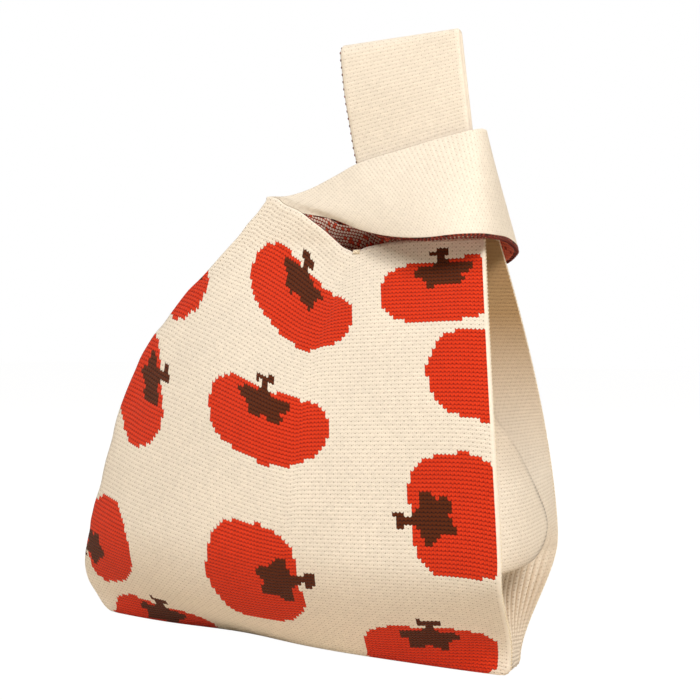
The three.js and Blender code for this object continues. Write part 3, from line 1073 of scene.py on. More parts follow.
    def offset(self, t: np.ndarray, z: np.ndarray, away: np.ndarray, ribs: np.ndarray) -> np.ndarray:
        """Outward offset from the side edge, for a side of full depth.

        Args:
            t: Shares of the half depth, from -1 in front to 1 behind.
            z: Heights.
            away: How far inside the puff's outline each place is.
            ribs: Ribs, from -1 between them to 1 on them.

        Returns:
            The offsets.
        """
        power = mix(*self.fold_powers, bell(z, *self.belly))
        fold = value_through(self.fold, z) * (1 - np.abs(t) ** power)
        pleats = self.rib_depth * ribs * bell(z, *self.rib_place)
        rate, power = self.puff_swell
        swell = 1 - (1 - clamp01((1 + t) * rate)) ** power
        puff = self.puff_height * swell * up_to(z, self.puff_top)
        crease = self.crease_depth * bell(away, -self.crease_reach, self.crease_reach)
        crease = crease * up_to(z, self.crease_top)
        return mix(fold + pleats, puff, ease(away / self.puff_edge + 1)) - crease

    def fold_shade(self, t: np.ndarray, z: np.ndarray, ribs: np.ndarray) -> np.ndarray:
        """Strength of the painted shade in the deep upper fold and under the puff.

        Args:
            t: Shares of the half depth.
            z: Heights.
            ribs: Ribs, from -1 between them to 1 on them.

        Returns:
            The strength, from 0 to 1.
        """
        low, high = self.fold_shade_heights
        least, share, height, reach = self.rib_shade
        # Painted shade: growing up into the deep fold, and between the ribs and under the puff.
        fold_shade_share = clamp01((z - low) / (high - low))
        fold_shade_share = np.maximum(fold_shade_share, (least - share * ribs) * bell(z, height, reach))
        return np.maximum(fold_shade_share, self.puff_shadow_spot.at(t, z))

    def shade(self, t: np.ndarray, z: np.ndarray, away: np.ndarray) -> np.ndarray:
        """Strength of the painted shadow along the puff's crease and in the other shaded spots.

        Args:
            t: Shares of the half depth.
            z: Heights.
            away: How far inside the puff's outline each place is.

        Returns:
            The strength, from 0 to 1.
        """
        least, height, reach = self.crease_shadow_least
        before, grow = self.crease_shadow_front
        # Painted shadow just inside the puff's outline, where it folds over the cloth behind.
        painted_shade = bell(away, *self.crease_shadow_line) * mix(least, 1, bell(z, height, reach))
        painted_shade = painted_shade * up_to(z, self.crease_shadow_top) * ease((t * self.puff_scale + before) / grow)
        for spot in self.shadow_spots:
            painted_shade = np.maximum(painted_shade, spot.at(t, z))
        return painted_shade

    def build(self, finishes: "Finishes") -> bpy.types.Object:
        """Makes the gusset.

        Args:
            finishes: Finishes of the bag.

        Returns:
            The new object.
        """
        grid, strain = self.grid()
        up = run_length(grid, 0).mean(axis=1, keepdims=True) / COURSE
        u = np.linspace(0, self.wales, grid.shape[1])[None, :]
        stitches = np.stack(np.broadcast_arrays(u, up), -1)
        name = f"{self.side.name.lower()}_gusset_knit"
        cloth = Cloth(name, grid, stitches, thickness=2.0, roll=(0.4, 0.6, 0, 0), strain=strain)
        return cloth.build(finishes.gusset, finishes.birdseye, *[finishes.gusset] * 4)


def linear(code: str) -> tuple:
    """Turns an sRGB hex colour into linear RGBA."""
    values = [int(code[k : k + 2], 16) / 255 for k in (1, 3, 5)]
    return (*(v / 12.92 if v <= 0.04045 else ((v + 0.055) / 1.055) ** 2.4 for v in values), 1.0)


@dataclass(frozen=True)
class Tree:
    """A node tree that is being filled.

    Attributes:
        tree: The tree.
    """

    tree: bpy.types.NodeTree

    def add(self, kind: str, *values: object, named: dict | None = None, out: int | str = 0,
            **settings: object) -> bpy.types.NodeSocket | None:
        """Adds a node with its settings, values and links.

        Args:
            kind: Type name of the node.
            values: Values or sockets for its first inputs; None leaves one alone, and a list
                links several sockets to one input.
            named: Values or sockets for inputs by name or number.
            out: Output to return.
            settings: Properties of the node.

        Returns:
            The chosen output socket, or nothing if the node has none.
        """
        node = self.tree.nodes.new(kind)
        for key, value in settings.items():
            setattr(node, key, value)
        for key, value in [*enumerate(values), *(named or {}).items()]:
            if value is None:
                continue
            for item in value if isinstance(value, list) else [value]:
                if isinstance(item, bpy.types.NodeSocket):
                    self.tree.links.new(item, node.inputs[key])
                else:
                    node.inputs[key].default_value = item
        return node.outputs[out] if len(node.outputs) else None


def new_material(name: str) -> tuple[bpy.types.Material, Tree]:
    """Makes a material without nodes.

    Args:
        name: Name of the material.

    Returns:
        The material, and its tree to be filled.
    """
    material = bpy.data.materials.new(name)
    material.use_nodes = True
    material.node_tree.nodes.clear()
    return material, Tree(material.node_tree)


def new_group(name: str, kind: str, inputs: dict, outputs: dict) -> bpy.types.NodeTree:
    """Makes an empty node group.

    Args:
        name: Name of the group.
        kind: Type name of the tree.
        inputs: Socket type of each input by name.
        outputs: Socket type of each output by name.

    Returns:
        The group.
    """
    group = bpy.data.node_groups.new(name, kind)
    for way, sockets in (("INPUT", inputs), ("OUTPUT", outputs)):
        for socket, type_name in sockets.items():
            group.interface.new_socket(socket, in_out=way, socket_type=type_name)
    return group


@dataclass(frozen=True)
class StitchRelief:
    """One stockinette stitch: two slanted legs, and a notch that is deep on every other one.

    Attributes:
        ridge_power: How round a leg's ridge is; the lower, the flatter.
        leg_floor: Share of a leg's height that is left at its two sides.
        notch_reach: Reach of the spot where four stitches meet, in shares of a stitch.
        slit_reach: Reach of the smaller spot between the feet of the legs.
        soft: Share of those reaches where a spot has its full strength.
        faint: Strength of every other spot, where no backing yarn crosses.
        valley_power: How narrow the shade between two ridges is.
        valley_dark: Strength of that shade.
        notch_dark: Strength of the shade in the spots where four stitches meet.
        slit_share: Strength of the smaller spots.
    """

    ridge_power: float = 0.6
    leg_floor: float = 0.55
    notch_reach: float = 0.26
    slit_reach: float = 0.2
    soft: float = 0.3
    faint: float = 0.4
    valley_power: float = 1.6
    valley_dark: float = 0.7
    notch_dark: float = 0.65
    slit_share: float = 0.5

    def group(self) -> bpy.types.NodeTree:
        """Makes the node group that shapes and counts the stitches.

        Returns:
            The group. It gives the ridge along a leg, the height, the notch that shows the yarn
            behind, the shade between the legs, and the middle of the stitch in millimetres of the
            flat knit.
        """
        group = new_group(
            "stockinette_stitch",
            "ShaderNodeTree",
            {"Stitch": "NodeSocketVector", "Slant": "NodeSocketFloat"},
            {"Ridge": "NodeSocketFloat", "Height": "NodeSocketFloat", "Notch": "NodeSocketFloat",
             "Dark": "NodeSocketFloat", "Cell": "NodeSocketVector"},
        )
        t = Tree(group)
        math_node = "ShaderNodeMath"
        stitch = t.add("NodeGroupInput", out="Stitch")
        slant = t.add("NodeGroupInput", out="Slant")
        u = t.add("ShaderNodeSeparateXYZ", stitch, out="X")
        v = t.add("ShaderNodeSeparateXYZ", stitch, out="Y")
        # The two legs mirror each other across the middle of a wale and climb towards its edges.
        side = t.add(math_node, t.add(math_node, u, operation="FRACT"), 0.5, operation="SUBTRACT")
        side = t.add(math_node, side, operation="ABSOLUTE")
        climb = t.add(math_node, side, slant, operation="MULTIPLY")
        climb = t.add(math_node, v, climb, operation="SUBTRACT")
        part = t.add(math_node, climb, operation="FRACT")
        wave = t.add(math_node, t.add(math_node, part, math.pi, operation="MULTIPLY"), operation="SINE")
        ridge = t.add(math_node, wave, self.ridge_power, operation="POWER")
        leg = t.add(math_node, t.add(math_node, side, 2 * math.pi, operation="MULTIPLY"),
                    operation="SINE")
        leg = t.add(math_node, leg, 1 - self.leg_floor, self.leg_floor, operation="MULTIPLY_ADD")
        height = t.add(math_node, ridge, leg, operation="MULTIPLY")
        # One spot lies where four stitches meet, and a smaller one between the feet of the legs.
        beside = t.add(math_node, 0.5, side, operation="SUBTRACT")
        above = t.add(math_node, t.add(math_node, part, 0.5, operation="SUBTRACT"),
                      operation="ABSOLUTE")
        over = t.add(math_node, 0.5, above, operation="SUBTRACT")
        spots = []
        for across, up, reach in ((beside, over, self.notch_reach), (side, above, self.slit_reach)):
            away = t.add("ShaderNodeVectorMath", t.add("ShaderNodeCombineXYZ", across, up),
                         operation="LENGTH", out="Value")
            spots.append(t.add("ShaderNodeMapRange", away, reach, reach * self.soft, 0.0, 1.0,
                               interpolation_type="SMOOTHSTEP"))
        notch, slit = spots
        low = t.add(math_node, 1.0, wave, operation="SUBTRACT")
        low = t.add(math_node, low, self.valley_power, operation="POWER")
        painted_shade = t.add(math_node, notch, self.notch_dark, operation="MULTIPLY")
        painted_shade = t.add(math_node, low, self.valley_dark, painted_shade, operation="MULTIPLY_ADD", use_clamp=True)
        # Every other notch is deep, as where the backing yarn crosses.
        parity = t.add(math_node, t.add(math_node, u, operation="ROUND"),
                       t.add(math_node, climb, operation="ROUND"), operation="ADD")
        parity = t.add(math_node, parity, 2.0, operation="FLOORED_MODULO")
        parity = t.add(math_node, parity, 1 - self.faint, self.faint, operation="MULTIPLY_ADD")
        notch = t.add(math_node, notch, parity, operation="MULTIPLY")
        notch = t.add(math_node, slit, self.slit_share, notch, operation="MULTIPLY_ADD", use_clamp=True)
        middle = []
        for place, pitch in ((u, WALE), (climb, COURSE)):
            number = t.add(math_node, t.add(math_node, place, operation="FLOOR"), 0.5, operation="ADD")
            middle.append(t.add(math_node, number, pitch, operation="MULTIPLY"))
        cell = t.add("ShaderNodeCombineXYZ", *middle)
        t.add("NodeGroupOutput", ridge, height, notch, painted_shade, cell)
        return group


@dataclass(frozen=True)
class FruitShape:
    """A plain round fruit with a lobed cap and a stem, in millimetres round its own middle.

    Attributes:
        half_width: Half its width.
        half_height: Half its height.
        squareness: How square its outline is, across and up; 2 is an oval.
        dent: Depth and reach of the dip round the stem.
        cap_middle: Height of the cap's middle.
        cap_radius: Mean radius of the cap.
        cap_lobes: Lobes round the cap.
        lobe_depth: How far they reach beyond the mean radius.
        cap_squash: How much lower than wide the cap is.
        stem: Height of the stem's middle, half its length and half its width.
        tip: Height of the wider tip's middle, half its height, and how much wider it is each way.
    """

    half_width: float = 36.0
    half_height: float = 29.0
    squareness: tuple = (2.9, 2.7)
    dent: tuple = (2.5, 11.0)
    cap_middle: float = 15.0
    cap_radius: float = 14.5
    cap_lobes: float = 5.0
    lobe_depth: float = 2.8
    cap_squash: float = 1.25
    stem: tuple = (26.0, 11.5, 2.4)
    tip: tuple = (34.5, 3.2, 3.2)

    def group(self) -> bpy.types.NodeTree:
        """Makes the node group that tells which stitches are skin and which are cap or stem.

        Returns:
            The group.
        """
        inputs = {name: "NodeSocketVector" for name in ("Cell", "Place", "Turn", "Size")}
        group = new_group("knitted_fruit", "ShaderNodeTree", inputs,
                          {"Skin": "NodeSocketFloat", "Cap": "NodeSocketFloat"})
        t = Tree(group)
        math_node = "ShaderNodeMath"
        sockets = [t.add("NodeGroupInput", out=name) for name in inputs]
        local = t.add("ShaderNodeMapping", *sockets, vector_type="TEXTURE")
        x = t.add("ShaderNodeSeparateXYZ", local, out="X")
        y = t.add("ShaderNodeSeparateXYZ", local, out="Y")
        away = t.add(math_node, x, operation="ABSOLUTE")
        depth, reach = self.dent
        dent = t.add(math_node, t.add(math_node, away, reach, operation="DIVIDE"), 2.0, operation="POWER")
        dent = t.add(math_node, -1.0, dent, operation="MULTIPLY")
        dent = t.add(math_node, t.add(math_node, dent, operation="EXPONENT"), depth, operation="MULTIPLY")
        lifted = t.add(math_node, t.add(math_node, y, dent, operation="ADD"), operation="ABSOLUTE")
        sides = []
        for value, half, power in ((away, self.half_width, self.squareness[0]),
                                   (lifted, self.half_height, self.squareness[1])):
            sides.append(t.add(math_node, t.add(math_node, value, half, operation="DIVIDE"), power,
                               operation="POWER"))
        skin = t.add(math_node, t.add(math_node, *sides, operation="ADD"), 1.0, operation="LESS_THAN")
        high = t.add(math_node, y, self.cap_middle, operation="SUBTRACT")
        angle = t.add(math_node, high, x, operation="ARCTAN2")
        lobes = t.add(math_node, angle, self.cap_lobes, -math.pi / 2, operation="MULTIPLY_ADD")
        lobes = t.add(math_node, t.add(math_node, lobes, operation="COSINE"), self.lobe_depth,
                      self.cap_radius, operation="MULTIPLY_ADD")
        squashed = t.add(math_node, high, self.cap_squash, operation="MULTIPLY")
        spread = t.add("ShaderNodeVectorMath", t.add("ShaderNodeCombineXYZ", x, squashed),
                       operation="LENGTH", out="Value")
        cap = t.add(math_node, spread, lobes, operation="LESS_THAN")
        bands = []
        for middle, half in (self.stem[:2], self.tip[:2]):
            off = t.add(math_node, y, middle, operation="SUBTRACT")
            bands.append(t.add(math_node, t.add(math_node, off, operation="ABSOLUTE"), half,
                               operation="LESS_THAN"))
        reach = t.add(math_node, bands[1], self.tip[2], self.stem[2], operation="MULTIPLY_ADD")
        stem = t.add(math_node, away, reach, operation="LESS_THAN")
        stem = t.add(math_node, stem, bands[0], operation="MULTIPLY")
        t.add("NodeGroupOutput", skin, t.add(math_node, cap, stem, operation="MAXIMUM"))
        return group


@dataclass(frozen=True)
class Fruit:
    """One fruit of the pattern, with its place and half sizes in millimetres of the flat knit.

    Attributes:
        x: Distance from the panel's first wale.
        y: Distance from the bottom seam.
        turn: Turn in degrees.
        half_width: Half its width across the stem.
        half_height: Half its height along the stem.
    """

    x: float
    y: float
    turn: float
    half_width: float = 38.0
    half_height: float = 22.0


@dataclass(frozen=True)
class KnitFinish:
    """Right side of a two-colour cotton knit: matt, with a fine V relief and dark notches.

    Attributes:
        name: Name of the material.
        yarn: Colour of the ground yarn.
        notch: Colour between its stitches, where the backing yarns show through.
        notch_share: How much of that shows.
        notch_depth: How deep the notches lie, in shares of the relief.
        slant: Climb of a leg over a wale, in courses.
        relief: Depth of the relief in millimetres.
        ridge_share: Share of the relief that the ground's ridges have.
        fuzz: Share of the relief that the yarn's fuzz has, and its grain in millimetres.
        cloud: Range of the uneven brightness, and the size of its patches in millimetres.
        odd: Brightness of the darkest single stitch, and how much brighter the brightest is.
        plain_wales: Wales kept plain along each side edge.
        fruits: Fruits knitted into it.
        fruit_shape: Shape of each fruit.
        skin: Colours of a fruit's ridges and valleys; the darker valley colour is painted shade.
        cap: Colours of its cap's ridges and valleys, with painted shade in the valleys the same way.
        shaded_yarn: Colour of the ground under painted shade in the folds, or nothing.
        shaded_notch: Colour between its stitches under that painted shade.
        crease: Colour of the painted shadow along sharp creases.
        crease_shadow_share: How much of that painted shadow shows on the ridges, and how much more in the
            valleys.
    """

    name: str
    yarn: str = "#F7F0E4"
    notch: str = "#8F7A5C"
    notch_share: float = 0.6
    notch_depth: float = 0.9
    slant: float = 0.7
    relief: float = 0.8
    ridge_share: float = 0.16
    fuzz: tuple = (0.2, 0.3846)
    cloud: tuple = (0.965, 1.02, 45.45)
    odd: tuple = (0.955, 0.06)
    plain_wales: tuple = (0.4, 135.4)
    fruits: tuple = ()
    fruit_shape: FruitShape = FruitShape()
    skin: tuple = ("#EC3F1B", "#A01404")
    cap: tuple = ("#602A0E", "#220A02")
    shaded_yarn: str = ""
    shaded_notch: str = "#6E5233"
    crease: str = "#4A3222"
    crease_shadow_share: tuple = (0.45, 0.9)

    def build(self, knit: bpy.types.NodeTree, fruit: bpy.types.NodeTree) -> bpy.types.Material:
        """Makes the material.

        Args:
            knit: Group with the relief of a stitch.
            fruit: Group with the shape of a fruit.

        Returns:
            The material.
        """
        material, t = new_material(self.name)
        math_node = "ShaderNodeMath"
        stitch = t.add("ShaderNodeUVMap", uv_map="stitches")
        sheet = t.add("ShaderNodeGroup", stitch, self.slant, node_tree=knit).node
        ridge, height, notch, painted_shade, cell = sheet.outputs
        u = t.add("ShaderNodeSeparateXYZ", stitch, out="X")
        inside = t.add(math_node, t.add(math_node, u, self.plain_wales[0], operation="GREATER_THAN"),
                       t.add(math_node, u, self.plain_wales[1], operation="LESS_THAN"),
                       operation="MULTIPLY")
        notch = t.add(math_node, notch, self.notch_share, operation="MULTIPLY", use_clamp=True)
        notch = t.add(math_node, notch, inside, operation="MULTIPLY")
        place = t.add("ShaderNodeTexCoord", out="Object")
        ground, gap = linear(self.yarn), linear(self.notch)
        # Painted shade on the gussets: the ground and notches turn warm brown where the map says so.
        if self.shaded_yarn:
            strain = t.add("ShaderNodeUVMap", uv_map="strain")
            fold_shade_share = t.add("ShaderNodeSeparateXYZ", strain, out="X")
            crease_shade = t.add("ShaderNodeSeparateXYZ", strain, out="Y")
            ground = t.add("ShaderNodeMix", named={0: fold_shade_share, 6: ground, 7: linear(self.shaded_yarn)},
                           out=2, data_type="RGBA")
            gap = t.add("ShaderNodeMix", named={0: fold_shade_share, 6: gap, 7: linear(self.shaded_notch)},
                        out=2, data_type="RGBA")
        colour = t.add("ShaderNodeMix", named={0: notch, 6: ground, 7: gap}, out=2, data_type="RGBA")
        # Painted shadow along the creases, stronger in the stitch valleys.
        if self.shaded_yarn:
            least, more = self.crease_shadow_share
            shown = t.add(math_node, painted_shade, more, least, operation="MULTIPLY_ADD")
            crease_shade = t.add(math_node, crease_shade, shown, operation="MULTIPLY", use_clamp=True)
            colour = t.add("ShaderNodeMix", named={0: crease_shade, 6: colour, 7: linear(self.crease)},
                           out=2, data_type="RGBA")
        if self.fruits:
            masks = [0.0, 0.0]
            shape = self.fruit_shape
            for item in self.fruits:
                size = (item.half_width / shape.half_width, item.half_height / shape.half_height, 1)
                node = t.add("ShaderNodeGroup", cell, (item.x, item.y, 0),
                             (0, 0, math.radians(item.turn)), size, node_tree=fruit).node
                masks = [t.add(math_node, mask, one, operation="MAXIMUM")
                         for mask, one in zip(masks, node.outputs)]
            # A fruit's stitch valleys and notches take the darker colour of each pair: painted shade.
            for mask, pair in zip(masks, (self.skin, self.cap)):
                mask = t.add(math_node, mask, inside, operation="MULTIPLY")
                yarn = t.add("ShaderNodeMix", named={0: painted_shade, 6: linear(pair[0]), 7: linear(pair[1])},
                             out=2, data_type="RGBA")
                colour = t.add("ShaderNodeMix", named={0: mask, 6: colour, 7: yarn}, out=2,
                               data_type="RGBA")
        # The noise mostly stays between 0.3 and 0.7.
        dull, bright, size = self.cloud
        cloud = t.add("ShaderNodeTexNoise", place, named={"Scale": 1 / (size * MM), "Detail": 3.0}, out=0)
        cloud = t.add("ShaderNodeMapRange", cloud, 0.3, 0.7, dull, bright)
        least, more = self.odd
        odd = t.add("ShaderNodeTexWhiteNoise", cell, out="Value")
        odd = t.add(math_node, odd, more, least, operation="MULTIPLY_ADD")
        cloud = t.add(math_node, cloud, odd, operation="MULTIPLY")
        colour = t.add("ShaderNodeVectorMath", colour, named={"Scale": cloud}, operation="SCALE")
        flat = t.add(math_node, notch, -self.notch_depth, 1.0, operation="MULTIPLY_ADD")
        flat = t.add(math_node, ridge, self.ridge_share, flat, operation="MULTIPLY_ADD")
        if self.fruits:
            dyed = t.add(math_node, masks[0], masks[1], operation="MAXIMUM")
            dyed = t.add(math_node, dyed, inside, operation="MULTIPLY")
            flat = t.add("ShaderNodeMix", named={0: dyed, 2: flat, 3: height}, data_type="FLOAT")
        # Real fibres are about 0.02 mm thick, too fine to show, so the fuzz is drawn coarser.
        share, grain = self.fuzz
        fuzz = t.add("ShaderNodeTexNoise", place, named={"Scale": 1 / (grain * MM), "Detail": 2.0}, out=0)
        height = t.add(math_node, fuzz, share, flat, operation="MULTIPLY_ADD")
        bump = t.add("ShaderNodeBump", named={"Strength": 0.8, "Distance": self.relief * MM,
                                              "Height": height})
        surface = t.add("ShaderNodeBsdfPrincipled", named={
            "Base Color": colour, "Roughness": 0.92, "Normal": bump, "Sheen Weight": 0.08,
            "Sheen Roughness": 0.5, "Specular IOR Level": 0.15})
        t.add("ShaderNodeOutputMaterial", surface)
        return material


@dataclass(frozen=True)
class BackingFinish:
    """Reverse of the two-colour knit: staggered oval floats of the yarns that the front doesn't use.

    Attributes:
        name: Name of the material.
        ground: Colour of the net between the floats.
        floats: Colour of most floats, and of the odd one.
        gap: Colour of the holes between them.
        relief: Height of a float in millimetres.
        per_stitch: Floats to a wale and to a course.
        half_float: Half the width and height of a float, as shares of its place.
        rim: Square of the distance from a float's middle where its yarn ends, and where it is full;
            1 is at its half width.
        hole: The same square where a hole starts, and where it is full.
        usual_share: Share of the floats that have the first colour.
    """

    name: str
    ground: str = "#CE4E36"
    floats: tuple = ("#FFF0E2", "#F0684A")
    gap: str = "#5C1A10"
    relief: float = 0.7
    per_stitch: tuple = (1.1, 1.25)
    half_float: tuple = (0.44, 0.42)
    rim: tuple = (1.15, 0.7)
    hole: tuple = (1.2, 1.9)
    usual_share: float = 0.88

    def build(self) -> bpy.types.Material:
        """Makes the material.

        Returns:
            The material.
        """
        material, t = new_material(self.name)
        math_node = "ShaderNodeMath"
        stitch = t.add("ShaderNodeUVMap", uv_map="stitches")
        v = t.add(math_node, t.add("ShaderNodeSeparateXYZ", stitch, out="Y"), self.per_stitch[1],
                  operation="MULTIPLY")
        row = t.add(math_node, v, operation="FLOOR")
        shift = t.add(math_node, row, 0.5, operation="MULTIPLY")
        u = t.add(math_node, t.add("ShaderNodeSeparateXYZ", stitch, out="X"), self.per_stitch[0], shift,
                  operation="MULTIPLY_ADD")
        column = t.add(math_node, u, operation="FLOOR")
        square = []
        for value, reach in zip((u, v), self.half_float):
            part = t.add(math_node, t.add(math_node, value, operation="FRACT"), 0.5, operation="SUBTRACT")
            part = t.add(math_node, part, reach, operation="DIVIDE")
            square.append(t.add(math_node, part, part, operation="MULTIPLY"))
        r = t.add(math_node, *square, operation="ADD")
        oval = t.add("ShaderNodeMapRange", r, *self.rim, 0.0, 1.0)
        gap = t.add("ShaderNodeMapRange", r, *self.hole, 0.0, 1.0)
        odd = t.add("ShaderNodeTexWhiteNoise", t.add("ShaderNodeCombineXYZ", column, row), out="Value")
        odd = t.add(math_node, odd, self.usual_share, operation="GREATER_THAN")
        yarn = t.add("ShaderNodeMix", named={0: odd, 6: linear(self.floats[0]),
                                             7: linear(self.floats[1])}, out=2, data_type="RGBA")
        ground = t.add("ShaderNodeMix", named={0: gap, 6: linear(self.ground), 7: linear(self.gap)},
                       out=2, data_type="RGBA")
        colour = t.add("ShaderNodeMix", named={0: oval, 6: ground, 7: yarn}, out=2,
                       data_type="RGBA")
        bump = t.add("ShaderNodeBump", named={"Strength": 0.8, "Distance": self.relief * MM,
                                              "Height": oval})
        surface = t.add("ShaderNodeBsdfPrincipled", named={
            "Base Color": colour, "Roughness": 0.92, "Normal": bump, "Sheen Weight": 0.15,
            "Specular IOR Level": 0.2})
        t.add("ShaderNodeOutputMaterial", surface)
        return material


@dataclass(frozen=True)
class YarnFinish:
    """Spun cotton yarn: matt, with a fine twist, and painted shade in the grooves between its plies.

    Attributes:
        name: Name of the material.
        colours: Colours of the plies and of the grooves between them; the darker groove colour is painted
            shade.
        ply: Distance from ply to ply in millimetres.
        groove: Depth of a groove in millimetres.
    """

    name: str
    colours: tuple = ("#F6ECDA", "#DFD0B2")
    ply: float = 1.155
    groove: float = 0.2

    def build(self) -> bpy.types.Material:
        """Makes the material.

        Returns:
            The material.
        """
        material, t = new_material(self.name)
        place = t.add("ShaderNodeTexCoord", out="Object")
        plies = t.add("ShaderNodeTexWave", place, named={
            "Scale": WAVE_PERIOD / (self.ply * MM), "Distortion": 2.0, "Detail": 2.0},
            bands_direction="DIAGONAL", out=1)
        # The grooves between the plies take the darker colour: painted shade.
        colour = t.add("ShaderNodeMix", named={0: plies, 6: linear(self.colours[1]),
                                               7: linear(self.colours[0])}, out=2, data_type="RGBA")
        bump = t.add("ShaderNodeBump", named={"Strength": 0.5, "Distance": self.groove * MM,
                                              "Height": plies})
        surface = t.add("ShaderNodeBsdfPrincipled", named={
            "Base Color": colour, "Roughness": 0.9, "Normal": bump, "Sheen Weight": 0.2,
            "Specular IOR Level": 0.25})
        t.add("ShaderNodeOutputMaterial", surface)
        return material


@dataclass
class Finishes:
    """The materials of the bag.

    Attributes:
        fruits: Fruits of the pattern, the same on both panels.
        jacquard: Right side of the panels.
        plain: Right side of the handles.
        edge: Cream rims.
        gusset: Right side of the gussets.
        birdseye: Reverse of the cloth.
        red_birdseye: Reverse of the short handle.
        selvedge: Dark rims of the mouth and the short handle.
        linking: Yarn of the seams.
        dark_yarn: Yarn along the handles' edges.
    """

    fruits: tuple = (
        Fruit(187, 224, -8, 40, 19), Fruit(283, 234, 6, 38, 18), Fruit(60, 147, -66, 28, 24),
        Fruit(169, 157, 2, 42, 19), Fruit(303, 186, -96, 24, 30), Fruit(285, 113, 96, 32, 28),
        Fruit(160, 71, -84, 33, 31), Fruit(32, 62, 110, 25, 27), Fruit(70, 7, -10, 42, 20),
        Fruit(261, 21, -5, 39, 21), Fruit(87, 211, -52, 24, 22),
    )
    jacquard: bpy.types.Material = field(init=False)
    plain: bpy.types.Material = field(init=False)
    edge: bpy.types.Material = field(init=False)
    gusset: bpy.types.Material = field(init=False)
    birdseye: bpy.types.Material = field(init=False)
    red_birdseye: bpy.types.Material = field(init=False)
    selvedge: bpy.types.Material = field(init=False)
    linking: bpy.types.Material = field(init=False)
    dark_yarn: bpy.types.Material = field(init=False)

    def __post_init__(self) -> None:
        """Makes the materials."""
        knit, fruit = StitchRelief().group(), FruitShape().group()
        # Matt cream cotton in fine V stitches with small dark notches, and red fruits knitted in.
        self.jacquard = KnitFinish("cotton_jacquard_knit", fruits=self.fruits).build(knit, fruit)
        # The same cream knit, softer: its notches are fainter and its relief is lower.
        self.plain = KnitFinish("cotton_plain_knit", notch_share=0.4, relief=0.6).build(knit, fruit)
        # Cream rim of the cloth, nearly smooth.
        self.edge = KnitFinish("cotton_plain_edge", notch_share=0.0, relief=0.3).build(knit, fruit)
        # Cream side knit with painted shade: warm brown in the deep folds and under the puff, and darker
        # along the creases.
        self.gusset = KnitFinish("cotton_gusset_knit", yarn="#F8F0E4", notch="#A9916F", notch_share=0.6,
                                 shaded_yarn="#AE8F68").build(knit, fruit)
        # Inside of the cloth: pale ovals in a brick-red net with dark holes.
        self.birdseye = BackingFinish("jacquard_backing_knit").build()
        # Inside of the band: the same net, mostly red.
        self.red_birdseye = BackingFinish("jacquard_red_backing_knit", ground="#C43A26",
                                          floats=("#FF8466", "#7A2A1C")).build()
        # Edge of the mouth: a thin dark red line.
        self.selvedge = BackingFinish("knit_selvedge", ground="#6A2016",
                                      floats=("#B04A36", "#3A120B"), gap="#2A0B06").build()
        # Cream twisted yarn: small bright beads along the seams.
        self.linking = YarnFinish("cotton_linking_yarn").build()
        # Dark red twisted yarn: a fine zigzag along the handles' edges.
        self.dark_yarn = YarnFinish("cotton_dark_yarn", colours=("#8E2C1A", "#35100A")).build()


